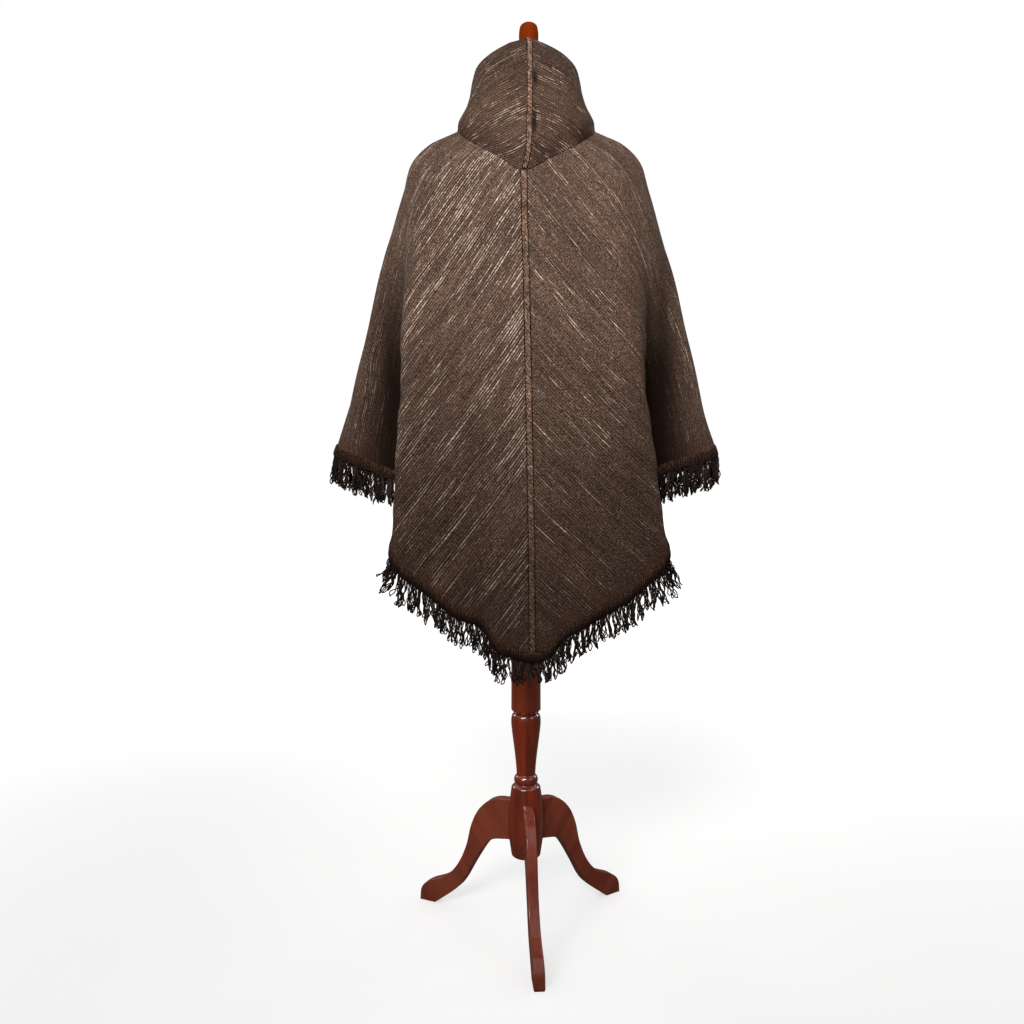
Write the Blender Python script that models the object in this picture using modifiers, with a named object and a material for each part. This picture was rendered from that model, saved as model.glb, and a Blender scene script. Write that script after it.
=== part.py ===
"""Hooded wool poncho on a limbless dress form and a turned tripod stand.

Metres, +Z up, the floor at z = 0. The wearer's back faces -Y and the wearer's
right hand is at +X. Sizes are measured from the post's axis, which stands at
the stand_axis empty; the part's origin is the middle of its base.
"""
import math
import random

import bmesh
import bpy
import numpy as np

# Where the post's axis stands, so that the whole box is centred on the origin.
AXIS_X = 0.0
AXIS_Y = 0.029

# Cloth and seams.
CLOTH = 0.0025            # thickness of the woven wool
GAP = 0.0003              # between pieces that touch
HOOD_GAP = 0.0006         # between the hood's lower edge and the panels
HOOD_LAP = 0.003          # how far the hood's edge laps on to the panels
FELL_HALF = 0.0062        # half the width of a felled seam
FELL_THICK = 0.0016
FOLDS_AROUND = 4          # mesh columns between two stations of a section
ROWS_BETWEEN = 2          # mesh rows between two sections

# Hem edging and fringe.
EDGING_GAP = 0.0008       # straight down from the panels' hem
EDGING_DROP = 0.015
EDGING_THICK = 0.0036
EDGING_PROUD = 0.0005
LOCK_PITCH = 0.0132
LOCK_LENGTH = 0.050
LOCK_SPREAD = 0.007       # how much longer or shorter a lock may be
LOCK_WIDTH = 0.0042
LOCK_SWAY = 0.0022
ROOT_SHARE = 0.5          # of its pitch, the part that a lock's root takes

# Sections of the poncho from the neckline to the hem. Heights are those of the
# centre back and of the side; the ring runs from the centre back along the flat
# panel to its fold, in to the valley behind it, and out over the flank to the side.
# The front is the back's mirror image.
SECTION_COLUMNS = ("name", "z_back", "z_side", "panel_y", "fold_left", "fold_right",
                   "fold_y", "valley_x", "valley_y", "flank_x", "flank_y", "side_x")
SECTIONS = (
    ("neckline", 1.411, 1.527, 0.118, 0.085, 0.085, 0.088, 0.117, 0.045, 0.127, 0.022, 0.130),
    ("yoke", 1.385, 1.497, 0.125, 0.127, 0.127, 0.099, 0.166, 0.055, 0.181, 0.027, 0.185),
    ("shoulder", 1.350, 1.464, 0.131, 0.157, 0.157, 0.107, 0.199, 0.061, 0.215, 0.030, 0.2195),
    ("upper arm", 1.300, 1.405, 0.136, 0.175, 0.173, 0.115, 0.216, 0.066, 0.234, 0.032, 0.239),
    ("chest", 1.200, 1.300, 0.142, 0.196, 0.188, 0.127, 0.231, 0.070, 0.263, 0.033, 0.271),
    ("elbow", 1.050, 1.190, 0.148, 0.212, 0.201, 0.141, 0.229, 0.070, 0.286, 0.031, 0.296),
    ("waist", 0.900, 1.090, 0.154, 0.221, 0.211, 0.150, 0.217, 0.066, 0.307, 0.029, 0.318),
    ("hip", 0.740, 1.000, 0.161, 0.228, 0.225, 0.161, 0.208, 0.063, 0.327, 0.027, 0.339),
    ("hem", 0.549, 0.924, 0.168, 0.237, 0.243, 0.170, 0.201, 0.061, 0.349, 0.026, 0.363),
)
# How far each station's height lies from the centre back's to the side's.
HEIGHT_SHARE = {"middle": 0.22, "fold": 0.475, "valley": 0.79, "flank": 0.96}

# Arches of the hood from the neckline to its front edge over the crown, each from
# the centre seam round the side to the face opening.
HOOD_COLUMNS = ("name", "seam", "back", "side", "cheek", "edge")
HOOD_ARCHES = (
    ("neckline", (0.0, -0.118, 1.411), (0.085, -0.088, 1.466), (0.130, 0.0, 1.527),
     (0.085, 0.088, 1.466), (0.0, 0.118, 1.411)),
    ("roll", (0.0, -0.137, 1.452), (0.094, -0.100, 1.508), (0.1315, 0.0, 1.545),
     (0.088, 0.088, 1.500), (0.026, 0.118, 1.445)),
    ("throat", (0.0, -0.128, 1.505), (0.081, -0.098, 1.543), (0.1155, -0.008, 1.562),
     (0.092, 0.066, 1.535), (0.052, 0.100, 1.485)),
    ("nape", (0.0, -0.121, 1.560), (0.073, -0.095, 1.583), (0.1075, -0.015, 1.592),
     (0.098, 0.042, 1.575), (0.075, 0.078, 1.530)),
    ("temple", (0.0, -0.115, 1.610), (0.068, -0.088, 1.618), (0.101, -0.022, 1.620),
     (0.100, 0.018, 1.608), (0.088, 0.048, 1.580)),
    ("crown", (0.0, -0.095, 1.651), (0.060, -0.074, 1.651), (0.090, -0.028, 1.650),
     (0.095, 0.000, 1.640), (0.092, 0.022, 1.620)),
    ("top", (0.0, -0.058, 1.679), (0.042, -0.048, 1.672), (0.072, -0.026, 1.664),
     (0.083, -0.010, 1.655), (0.086, 0.004, 1.642)),
    ("brow", (0.0, -0.024, 1.694), (0.026, -0.022, 1.690), (0.048, -0.018, 1.682),
     (0.064, -0.011, 1.672), (0.077, -0.004, 1.659)),
)
HOOD_STATIONS_U = (0.0, 2.0, 5.0, 8.0, 10.0)
HOOD_FIT_FADE = 0.12      # share of the hood over which its edge eases on to the neckline

# Dress form: rings from its underside to the armpit, and from the neck's root to its top.
FORM_COLUMNS = ("name", "z_back", "z_side", "half_depth", "half_width")
FORM_BODY = (
    ("underside", 0.762, 0.762, 0.088, 0.125),
    ("lower edge", 0.778, 0.778, 0.105, 0.148),
    ("hip", 0.860, 0.860, 0.112, 0.158),
    ("high hip", 0.950, 0.950, 0.103, 0.146),
    ("waist", 1.050, 1.050, 0.088, 0.122),
    ("ribs", 1.170, 1.170, 0.100, 0.140),
    ("chest", 1.280, 1.290, 0.110, 0.165),
    ("armpit", 1.345, 1.395, 0.106, 0.200),
)
FORM_NECK = (
    ("neck base", 1.490, 1.534, 0.070, 0.095),
    ("neck root", 1.525, 1.545, 0.060, 0.070),
    ("neck", 1.548, 1.556, 0.054, 0.057),
    ("neck top", 1.575, 1.575, 0.052, 0.054),
)
FORM_SHOULDER_DEPTH = (0.100, 0.074)      # at the shoulder's end and at the neckline
FORM_SHOULDER_BACK_Z = (1.335, 1.395)
FORM_SEGMENTS = 24
FORM_ROUNDNESS = 2.15     # exponent of the rings' superellipse

# Wooden pieces, as radius and height down each profile.
NECK_CAP_PROFILE = ((0.0, 1.590), (0.050, 1.590), (0.055, 1.587), (0.056, 1.582),
                    (0.054, 1.5775), (0.050, 1.5753), (0.0, 1.5753))
ROD_X = 0.005             # the rod stands a little to the wearer's right
ROD_RADIUS = 0.0178
ROD_TOP = 1.736
ROD_ROUNDING = 0.010
ROD_FOOT = 1.5903
REST_PROFILE = ((0.0178, 1.6908), (0.025, 1.6895), (0.036, 1.683), (0.048, 1.671),
                (0.057, 1.655), (0.060, 1.636), (0.056, 1.620), (0.044, 1.609),
                (0.028, 1.603), (0.0178, 1.601))
POLE_RADIUS = 0.0285
POLE_TOP = 0.7617
POLE_FOOT = 0.4075
POLE_CHAMFER = 0.0062
TURNED_PROFILE = ((0.0, 0.4072), (0.0225, 0.4072), (0.0262, 0.4045), (0.0282, 0.398),
                  (0.0287, 0.390), (0.0276, 0.376), (0.0246, 0.352), (0.0212, 0.325),
                  (0.0189, 0.302), (0.0180, 0.2875), (0.0205, 0.2855), (0.0226, 0.2815),
                  (0.0226, 0.2740), (0.0205, 0.2700), (0.0238, 0.2680), (0.0276, 0.2645),
                  (0.0285, 0.2600), (0.0285, 0.1360), (0.0276, 0.1320), (0.0250, 0.1295),
                  (0.0180, 0.1280), (0.0, 0.1280))
TURNED_STEPS = 20

# Legs: reach from the post's axis and height, along the upper and the under edge.
LEG_TOP_EDGE = ((0.0288, 0.236), (0.059, 0.234), (0.081, 0.224), (0.1025, 0.202),
                (0.117, 0.1715), (0.128, 0.129), (0.147, 0.089), (0.173, 0.061),
                (0.212, 0.043), (0.231, 0.026), (0.235, 0.0))
LEG_UNDER_EDGE = ((0.200, 0.0), (0.155, 0.034), (0.133, 0.0575), (0.110, 0.097),
                  (0.088, 0.132), (0.074, 0.148), (0.059, 0.154), (0.0288, 0.158))
LEG_THICK = 0.020
LEG_ROUNDING = 0.0025
LEG_ANGLES = (-85.4, 34.6, 154.6)

# Colours, as sRGB shares.
WOOL_BROWN = (0.36, 0.29, 0.25)
SEAM_BROWN = (0.30, 0.23, 0.19)
EDGING_BROWN = (0.17, 0.11, 0.09)
LINEN = (0.80, 0.77, 0.71)
MAHOGANY = (0.42, 0.15, 0.08)
AMBER_WOOD = (0.55, 0.25, 0.07)


def linear(colour):
    """An sRGB colour as the linear colour that a shader takes."""
    return tuple(c / 12.92 if c < 0.04045 else ((c + 0.055) / 1.055) ** 2.4 for c in colour)


def material(name, colour, roughness):
    """A plain Principled material."""
    new = bpy.data.materials.new(name)
    new.use_nodes = True
    shader = new.node_tree.nodes["Principled BSDF"]
    shader.inputs["Base Color"].default_value = (*linear(colour), 1.0)
    shader.inputs["Roughness"].default_value = roughness
    shader.inputs["Metallic"].default_value = 0.0
    return new


def start_empty():
    """Clear the scene and return the part's collection and the empty on the post's axis."""
    for old in list(bpy.data.objects):
        bpy.data.objects.remove(old, do_unlink=True)
    group = bpy.data.collections.new("hooded_poncho_on_dress_form")
    bpy.context.scene.collection.children.link(group)
    axis = bpy.data.objects.new("stand_axis", None)
    axis.location = (AXIS_X, AXIS_Y, 0.0)
    group.objects.link(axis)
    return group, axis


def add(name, mesh, look, group, axis):
    """Put a mesh in the part as a smooth object with its own material."""
    mesh.name = name
    mesh.materials.append(look)
    new = bpy.data.objects.new(name, mesh)
    new.parent = axis
    group.objects.link(new)
    return new


def through(knots, points, at):
    """Points on a smooth curve through the given points, which lie at knots."""
    knots = np.asarray(knots, float)
    points = np.asarray(points, float)
    at = np.asarray(at, float)
    slopes = np.gradient(points, knots, axis=0)
    left = np.clip(np.searchsorted(knots, at, side="right") - 1, 0, len(knots) - 2)
    column = (-1,) + (1,) * (points.ndim - 1)
    width = (knots[left + 1] - knots[left]).reshape(column)
    s = ((at - knots[left]).reshape(column)) / width
    start = (1 + 2 * s) * (1 - s) ** 2 * points[left]
    leave = s * (1 - s) ** 2 * width * slopes[left]
    end = s * s * (3 - 2 * s) * points[left + 1]
    arrive = s * s * (s - 1) * width * slopes[left + 1]
    return start + leave + end + arrive


def between(knots, parts):
    """Every knot, with the steps that cut each stretch into equal parts."""
    steps = [np.linspace(a, b, parts, endpoint=False) for a, b in zip(knots[:-1], knots[1:])]
    return np.append(np.concatenate(steps), knots[-1])


def run_lengths(table):
    """How far each row of points lies from the first, as the mean over its stations."""
    steps = np.linalg.norm(np.diff(table, axis=0), axis=2).mean(axis=1)
    return np.concatenate(([0.0], np.cumsum(steps)))


def outward(grid, inside):
    """Unit normals of a grid of points, pointing away from the post's axis.

    Columns that lie on the middle plane, named by inside, keep their normals in it.
    """
    normals = np.cross(np.gradient(grid, axis=1), np.gradient(grid, axis=0))
    for column in inside:
        normals[:, column, 0] = 0.0
    normals /= np.linalg.norm(normals, axis=2, keepdims=True)
    away = grid * (1.0, 1.0, 0.0)
    return normals * np.sign((normals * away).sum())


def section_points(row, fold_x):
    """The stations of one section, from the centre back round one side to the front."""
    rise = row["z_side"] - row["z_back"]
    middle_y = row["panel_y"] + (row["fold_y"] - row["panel_y"]) * 0.3
    back = (
        (0.0, -row["panel_y"], row["z_back"]),
        (fold_x / 2, -middle_y, row["z_back"] + rise * HEIGHT_SHARE["middle"]),
        (fold_x, -row["fold_y"], row["z_back"] + rise * HEIGHT_SHARE["fold"]),
        (row["valley_x"], -row["valley_y"], row["z_back"] + rise * HEIGHT_SHARE["valley"]),
        (row["flank_x"], -row["flank_y"], row["z_back"] + rise * HEIGHT_SHARE["flank"]),
    )
    side = ((row["side_x"], 0.0, row["z_side"]),)
    front = tuple((x, -y, z) for x, y, z in reversed(back))
    ring = back + side + front
    before = (-back[1][0], back[1][1], back[1][2])
    after = (-front[-2][0], front[-2][1], front[-2][2])
    return (before,) + ring + (after,)


def drape(fold_column):
    """Half of the poncho's outer surface as a grid, with its normals.

    The neckline runs straight between every second point, as the hood's edge does.
    """
    rows = [dict(zip(SECTION_COLUMNS, row)) for row in SECTIONS]
    table = np.array([section_points(row, row[fold_column]) for row in rows])
    knots = run_lengths(table)
    places = between(knots, ROWS_BETWEEN)
    sections = through(knots, table, places)
    around_knots = np.arange(-1.0, table.shape[1] - 1.0)
    around = between(around_knots[1:-1], FOLDS_AROUND)
    grid = through(around_knots, sections.transpose(1, 0, 2), around).transpose(1, 0, 2)
    grid[0, 1::2] = (grid[0, :-1:2] + grid[0, 2::2]) / 2
    return grid, outward(grid, (0, -1))


def add_fell_column(grid, at_end):
    """Put a column of points at the felled seam's edge, on the first or last strip."""
    middle, beside = (grid[:, -1], grid[:, -2]) if at_end else (grid[:, 0], grid[:, 1])
    share = FELL_HALF / np.abs(beside[:, :1])
    column = (middle + (beside - middle) * share)[:, None]
    where = grid.shape[1] - 1 if at_end else 1
    return np.concatenate((grid[:, :where], column, grid[:, where:]), axis=1)


def part_halves(grid, columns):
    """Move the columns on the middle plane off it by half a gap."""
    grid = grid.copy()
    for column in columns:
        grid[:, column, 0] = np.maximum(grid[:, column, 0], GAP / 2)
    return grid


def wall_mesh(name, outer, inner, mirrored):
    """A closed wall between an outer and an inner grid of points."""
    rows, columns = outer.shape[:2]
    points = np.concatenate((outer.reshape(-1, 3), inner.reshape(-1, 3)))
    if mirrored:
        points = points * np.array((-1.0, 1.0, 1.0))
    layer = rows * columns
    faces = []
    for i in range(rows - 1):
        for j in range(columns - 1):
            a = i * columns + j
            quad = (a, a + columns, a + columns + 1, a + 1)
            faces.append(quad)
            faces.append(tuple(layer + k for k in reversed(quad)))
    border = list(range(columns))
    border += [i * columns + columns - 1 for i in range(1, rows)]
    border += [(rows - 1) * columns + j for j in range(columns - 2, -1, -1)]
    border += [i * columns for i in range(rows - 2, 0, -1)]
    for a, b in zip(border, border[1:] + border[:1]):
        faces.append((a, b, b + layer, a + layer))
    return closed_mesh(name, points, faces)


def closed_mesh(name, points, faces):
    """A mesh from points and faces, with its faces turned outwards."""
    body = bmesh.new()
    corners = [body.verts.new(point) for point in points]
    for face in faces:
        body.faces.new([corners[k] for k in face])
    bmesh.ops.recalc_face_normals(body, faces=body.faces)
    mesh = bpy.data.meshes.new(name)
    body.to_mesh(mesh)
    body.free()
    mesh.shade_smooth()
    mesh.set_sharp_from_angle(angle=math.radians(50))
    return mesh


def panel(side, drapes):
    """One half of the poncho, a single cloth over the shoulder."""
    grid, normals = drapes[side]
    inner = grid - normals * CLOTH
    outer = part_halves(add_fell_column(add_fell_column(grid, False), True), (0, -1))
    inner = part_halves(add_fell_column(add_fell_column(inner, False), True), (0, -1))
    return wall_mesh(f"panel_{side}", outer, inner, side == "left")


def seam_strip(name, left, right):
    """A felled seam that lies on both halves, from each half's edge columns and normals."""
    middle, middle_normal = right[0][:, 0], right[1][:, 0]
    flip = np.array((-1.0, 1.0, 1.0))
    points = np.stack((left[0][:, 1] * flip, middle, right[0][:, 1]), axis=1)
    normals = np.stack((left[1][:, 1] * flip, middle_normal, right[1][:, 1]), axis=1)
    normals /= np.linalg.norm(normals, axis=2, keepdims=True)
    return wall_mesh(name, points + normals * (GAP + FELL_THICK), points + normals * GAP, False)


def seam_columns(grid, normals, at_end):
    """The two columns of points and normals under one half of a felled seam."""
    grid = add_fell_column(grid, at_end)
    middle, beside = (normals[:, -1], normals[:, -2]) if at_end else (normals[:, 0], normals[:, 1])
    beside_x = np.abs(grid[:, -3 if at_end else 2, :1])
    near = middle + (beside - middle) * (FELL_HALF / beside_x)
    order = (-1, -2) if at_end else (0, 1)
    return grid[:, order], np.stack((middle, near), axis=1)


def poncho_seam(name, drapes, at_end, first_row):
    """The felled seam down the middle of the back or of the front."""
    halves = []
    for side in ("left", "right"):
        grid, normals = drapes[side]
        halves.append(seam_columns(grid[first_row:], normals[first_row:], at_end))
    return seam_strip(name, *halves)


def hood_grid(neck_grid, neck_normals):
    """Half of the hood's outer surface, its lower edge on the panel beside the neckline."""
    arches = [dict(zip(HOOD_COLUMNS, row)) for row in HOOD_ARCHES]
    table = np.array([[row[key] for key in HOOD_COLUMNS[1:]] for row in arches])
    mirror = table[:, 1:2] * np.array((-1.0, 1.0, 1.0))
    table = np.concatenate((mirror, table), axis=1)
    knots = run_lengths(table)
    places = between(knots, ROWS_BETWEEN)
    sections = through(knots, table, places)
    around_knots = np.array((-2.0,) + HOOD_STATIONS_U)
    around = np.arange(0, neck_grid.shape[1], 2) / FOLDS_AROUND
    grid = through(around_knots, sections.transpose(1, 0, 2), around).transpose(1, 0, 2)
    along = neck_grid[1, ::2] - neck_grid[0, ::2]
    along /= np.linalg.norm(along, axis=1, keepdims=True)
    rise = neck_normals[0, ::2] * HOOD_GAP
    edge_inner = neck_grid[0, ::2] + rise
    edge_outer = edge_inner + along * HOOD_LAP
    ease = np.clip(1 - places / (places[-1] * HOOD_FIT_FADE), 0, 1)[:, None, None] ** 2
    grid = grid + (edge_outer - grid[0])[None] * ease
    grid[:, 0, 0] = 0.0
    return grid, edge_inner


def hood(side, drapes):
    """One half of the hood, open at the face, and its outer grid with normals."""
    neck_grid, neck_normals = drapes[side]
    grid, edge_inner = hood_grid(neck_grid, neck_normals)
    normals = outward(grid, (0,))
    inner = grid - normals * CLOTH
    inner[0] = edge_inner
    own_side = (GAP / 2, -np.inf, -np.inf)
    outer_wall = np.maximum(add_fell_column(grid, False), own_side)
    inner_wall = np.maximum(add_fell_column(inner, False), own_side)
    return wall_mesh(f"hood_{side}", outer_wall, inner_wall, side == "left"), grid, normals


def hem_edge(side, front, drapes):
    """The hem of a quarter from the middle to the side: points, normals and way down."""
    grid, normals = drapes[side]
    half = grid.shape[1] // 2
    span = slice(grid.shape[1] - 1, half - 1, -1) if front else slice(0, half + 1)
    down = grid[-1, span] - grid[-2, span]
    down /= np.linalg.norm(down, axis=1, keepdims=True)
    edge = grid[-1, span].copy()
    edge[0, 0] = GAP / 2
    edge[-1, 1] = (GAP if front else -GAP) / 2
    return edge, normals[-1, span], down


def lock_places(edge):
    """For each stretch between a hem's points, the shares where its locks' roots start and end."""
    stretches = []
    for length in np.linalg.norm(np.diff(edge, axis=0), axis=1):
        locks = max(1, round(length / LOCK_PITCH))
        margin = (1 - ROOT_SHARE) / 2
        shares = [0.0]
        for lock in range(locks):
            shares += [(lock + margin) / locks, (lock + 1 - margin) / locks]
        stretches.append(shares + [1.0])
    return stretches


def fringe(name, side, front, drapes, shuffle):
    """A length of hem edging with its fringe of locks, as one body."""
    edge, normals, fall = hem_edge(side, front, drapes)
    outer_top = edge - np.array((0.0, 0.0, EDGING_GAP))
    outer_low = edge + normals * EDGING_PROUD + fall * EDGING_DROP
    across = -normals * EDGING_THICK
    points = [tuple(p) for p in outer_top] + [tuple(p) for p in outer_top - normals * CLOTH]
    count = len(edge)
    stretches = lock_places(edge)
    low = []
    for k, shares in enumerate(stretches):
        column = []
        for share in shares[:-1] if k < count - 2 else shares:
            outer = outer_low[k] + (outer_low[k + 1] - outer_low[k]) * share
            inner = outer + across[k] + (across[k + 1] - across[k]) * share
            column.append((len(points), len(points) + 1))
            points += [tuple(outer), tuple(inner)]
        low.append(column)
    faces = []
    for k, column in enumerate(low):
        if k < count - 2:
            column = column + low[k + 1][:1]
        faces.append((k, k + 1) + tuple(pair[0] for pair in reversed(column)))
        faces.append((count + k, count + k + 1) + tuple(pair[1] for pair in reversed(column)))
        near, far = (k, k + 1) if front else (k + 1, k)
        faces.append((near, far, count + far, count + near))
        for j, (here, there) in enumerate(zip(column, column[1:])):
            ring = (here[0], there[0], there[1], here[1])
            if j % 2 == 0:
                faces.append(ring)
            else:
                add_lock(points, faces, ring, normals[k], shuffle)
    first, last = low[0][0], low[-1][-1]
    faces.append((0, first[0], first[1], count))
    faces.append((count - 1, last[0], last[1], 2 * count - 1))
    if side == "left":
        points = [(-x, y, z) for x, y, z in points]
    return closed_mesh(name, points, faces)


def add_lock(points, faces, root, normal, shuffle):
    """Grow one hanging lock from the four root points, bent once and drawn to a tip."""
    corners = np.array([points[k] for k in root])
    centre = corners.mean(axis=0)
    length = LOCK_LENGTH + shuffle.uniform(-LOCK_SPREAD, LOCK_SPREAD)
    along = corners[1] - corners[0]
    along /= np.linalg.norm(along)
    sway = [shuffle.uniform(-LOCK_SWAY, LOCK_SWAY) for _ in range(4)]
    drop = np.array((0.0, 0.0, -length))
    bend = centre + drop * 0.45 + along * sway[0] + normal * sway[1]
    tip = centre + drop + along * sway[2] + normal * sway[3]
    half = LOCK_WIDTH / 2
    signs = ((-1, 1), (1, 1), (1, -1), (-1, -1))
    start = len(points)
    points.extend(tuple(bend + along * half * a + normal * half * b) for a, b in signs)
    points.append(tuple(tip))
    for k in range(4):
        following = (k + 1) % 4
        faces.append((root[k], root[following], start + following, start + k))
        faces.append((start + k, start + following, start + 4))


def form_rings(drapes):
    """The dress form's rings; those of the shoulders lie just under the cloth's side line."""
    grid, normals = drapes["right"]
    side = grid.shape[1] // 2
    last = 2 * ROWS_BETWEEN
    under = (grid - normals * (CLOTH + GAP))[last::-1, side]
    share = np.linspace(0, 1, len(under))
    depth = np.interp(share, (0, 1), FORM_SHOULDER_DEPTH)
    back_z = np.interp(share, (0, 1), FORM_SHOULDER_BACK_Z)
    shoulder = tuple(("shoulder", *row) for row in zip(back_z, under[:, 2], depth, under[:, 0]))
    return [dict(zip(FORM_COLUMNS, row)) for row in FORM_BODY + shoulder + FORM_NECK]


def dress_form(drapes):
    """A smooth limbless form from the hips to the neck, closed at both ends."""
    points = []
    faces = []
    rings = form_rings(drapes)
    power = 2 / FORM_ROUNDNESS
    for ring in rings:
        rise = ring["z_side"] - ring["z_back"]
        for k in range(FORM_SEGMENTS):
            angle = 2 * math.pi * k / FORM_SEGMENTS
            across, deep = math.cos(angle), math.sin(angle)
            x = ring["half_width"] * math.copysign(abs(across) ** power, across)
            y = ring["half_depth"] * math.copysign(abs(deep) ** power, deep)
            points.append((x, y, ring["z_back"] + rise * across ** 2))
    for i in range(len(rings) - 1):
        for k in range(FORM_SEGMENTS):
            a = i * FORM_SEGMENTS + k
            b = i * FORM_SEGMENTS + (k + 1) % FORM_SEGMENTS
            faces.append((a, b, b + FORM_SEGMENTS, a + FORM_SEGMENTS))
    faces.append(tuple(range(FORM_SEGMENTS)))
    top = (len(rings) - 1) * FORM_SEGMENTS
    faces.append(tuple(range(top, top + FORM_SEGMENTS)))
    return closed_mesh("dress_form", points, faces)


def turned(name, profile, look, group, axis, x=0.0):
    """A turned wooden piece: a profile, from top to bottom, swept round its axis."""
    mesh = bpy.data.meshes.new(name)
    edges = [(k, k + 1) for k in range(len(profile) - 1)]
    mesh.from_pydata([(radius, 0.0, z) for radius, z in profile], edges, [])
    new = add(name, mesh, look, group, axis)
    new.location = (x, 0.0, 0.0)
    sweep = new.modifiers.new("turning", "SCREW")
    sweep.steps = TURNED_STEPS
    sweep.render_steps = TURNED_STEPS
    sweep.use_merge_vertices = True
    sweep.merge_threshold = 0.00005
    sweep.use_smooth_shade = True
    return new


def rod_profile():
    """The rod from its rounded end, over the domed rest, down to the neck cap."""
    end = [(0.0, ROD_TOP)]
    flat = ROD_RADIUS - ROD_ROUNDING
    for angle in (90, 60, 30, 0):
        turn = math.radians(angle)
        end.append((flat + ROD_ROUNDING * math.cos(turn),
                    ROD_TOP - ROD_ROUNDING * (1 - math.sin(turn))))
    foot = [(ROD_RADIUS, ROD_FOOT), (0.0, ROD_FOOT)]
    return end + list(REST_PROFILE) + foot


def pole_profile():
    """The plain pole under the form, chamfered at its foot."""
    return ((0.0, POLE_TOP), (POLE_RADIUS, POLE_TOP), (POLE_RADIUS, POLE_FOOT + POLE_CHAMFER),
            (POLE_RADIUS - POLE_CHAMFER, POLE_FOOT), (0.0, POLE_FOOT))


def leg(name, angle, look, group, axis):
    """A sawn leg: its outline as a filled curve, set upright and turned about the post."""
    top = list(LEG_TOP_EDGE)
    under = list(LEG_UNDER_EDGE)
    top_curve = through(np.arange(len(top)), top, between(np.arange(len(top) - 1), 2))
    under_curve = through(np.arange(len(under)), under, between(np.arange(len(under)), 2))
    outline = [tuple(p) for p in top_curve] + [top[-1]] + [tuple(p) for p in under_curve]
    curve = bpy.data.curves.new(name, "CURVE")
    curve.dimensions = "2D"
    curve.fill_mode = "BOTH"
    curve.extrude = LEG_THICK / 2
    line = curve.splines.new("POLY")
    line.points.add(len(outline) - 1)
    for point, (reach, height) in zip(line.points, outline):
        point.co = (reach, height, 0.0, 1.0)
    line.use_cyclic_u = True
    curve.materials.append(look)
    new = bpy.data.objects.new(name, curve)
    new.parent = axis
    new.rotation_euler = (math.radians(90), 0.0, math.radians(angle))
    group.objects.link(new)
    weld = new.modifiers.new("weld", "WELD")
    weld.merge_threshold = 0.00005
    soften = new.modifiers.new("rounded edges", "BEVEL")
    soften.width = LEG_ROUNDING
    soften.segments = 1
    soften.limit_method = "ANGLE"
    soften.angle_limit = math.radians(50)
    return new


def build():
    """Make every piece of the part."""
    group, axis = start_empty()
    wool = {side: material(f"wool_{side}", WOOL_BROWN, 0.9) for side in ("left", "right")}
    drapes = {"left": drape("fold_left"), "right": drape("fold_right")}
    hood_sides = []
    for side in ("left", "right"):
        add(f"panel_{side}", panel(side, drapes), wool[side], group, axis)
        mesh, grid, normals = hood(side, drapes)
        add(f"hood_{side}", mesh, material(f"hood_wool_{side}", WOOL_BROWN, 0.9), group, axis)
        hood_sides.append(seam_columns(grid[1:], normals[1:], False))
    seam_back = poncho_seam("seam_back", drapes, False, 1)
    add("seam_back", seam_back, material("seam_back_wool", SEAM_BROWN, 0.9), group, axis)
    seam_front = poncho_seam("seam_front", drapes, True, 1)
    add("seam_front", seam_front, material("seam_front_wool", SEAM_BROWN, 0.9), group, axis)
    seam_hood = seam_strip("seam_hood", *hood_sides)
    add("seam_hood", seam_hood, material("seam_hood_wool", SEAM_BROWN, 0.9), group, axis)
    shuffle = random.Random(11)
    for side in ("left", "right"):
        for face, front in (("back", False), ("front", True)):
            name = f"fringe_{face}_{side}"
            mesh = fringe(name, side, front, drapes, shuffle)
            add(name, mesh, material(f"{name}_wool", EDGING_BROWN, 0.95), group, axis)
    add("dress_form", dress_form(drapes), material("form_linen", LINEN, 0.85), group, axis)
    turned("neck_cap", NECK_CAP_PROFILE, material("cap_wood", MAHOGANY, 0.3), group, axis)
    rod_look = material("rod_wood", AMBER_WOOD, 0.3)
    turned("hood_rod", rod_profile(), rod_look, group, axis, x=ROD_X)
    turned("post_pole", pole_profile(), material("pole_wood", MAHOGANY, 0.25), group, axis)
    turned("post_turned", TURNED_PROFILE, material("post_wood", MAHOGANY, 0.25), group, axis)
    for number, angle in enumerate(LEG_ANGLES, start=1):
        name = f"leg_{number}"
        leg(name, angle, material(f"{name}_wood", MAHOGANY, 0.25), group, axis)


build()
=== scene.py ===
"""Fine shapes and finishes of the hooded wool poncho, its dress form and its stand.

Metres, +Z up, the wearer's back faces -Y. The cloth runs through the same sections as
its solids, with creases, waves, seams, stitches, edging and fringe laid on it.
"""
import math

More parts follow.
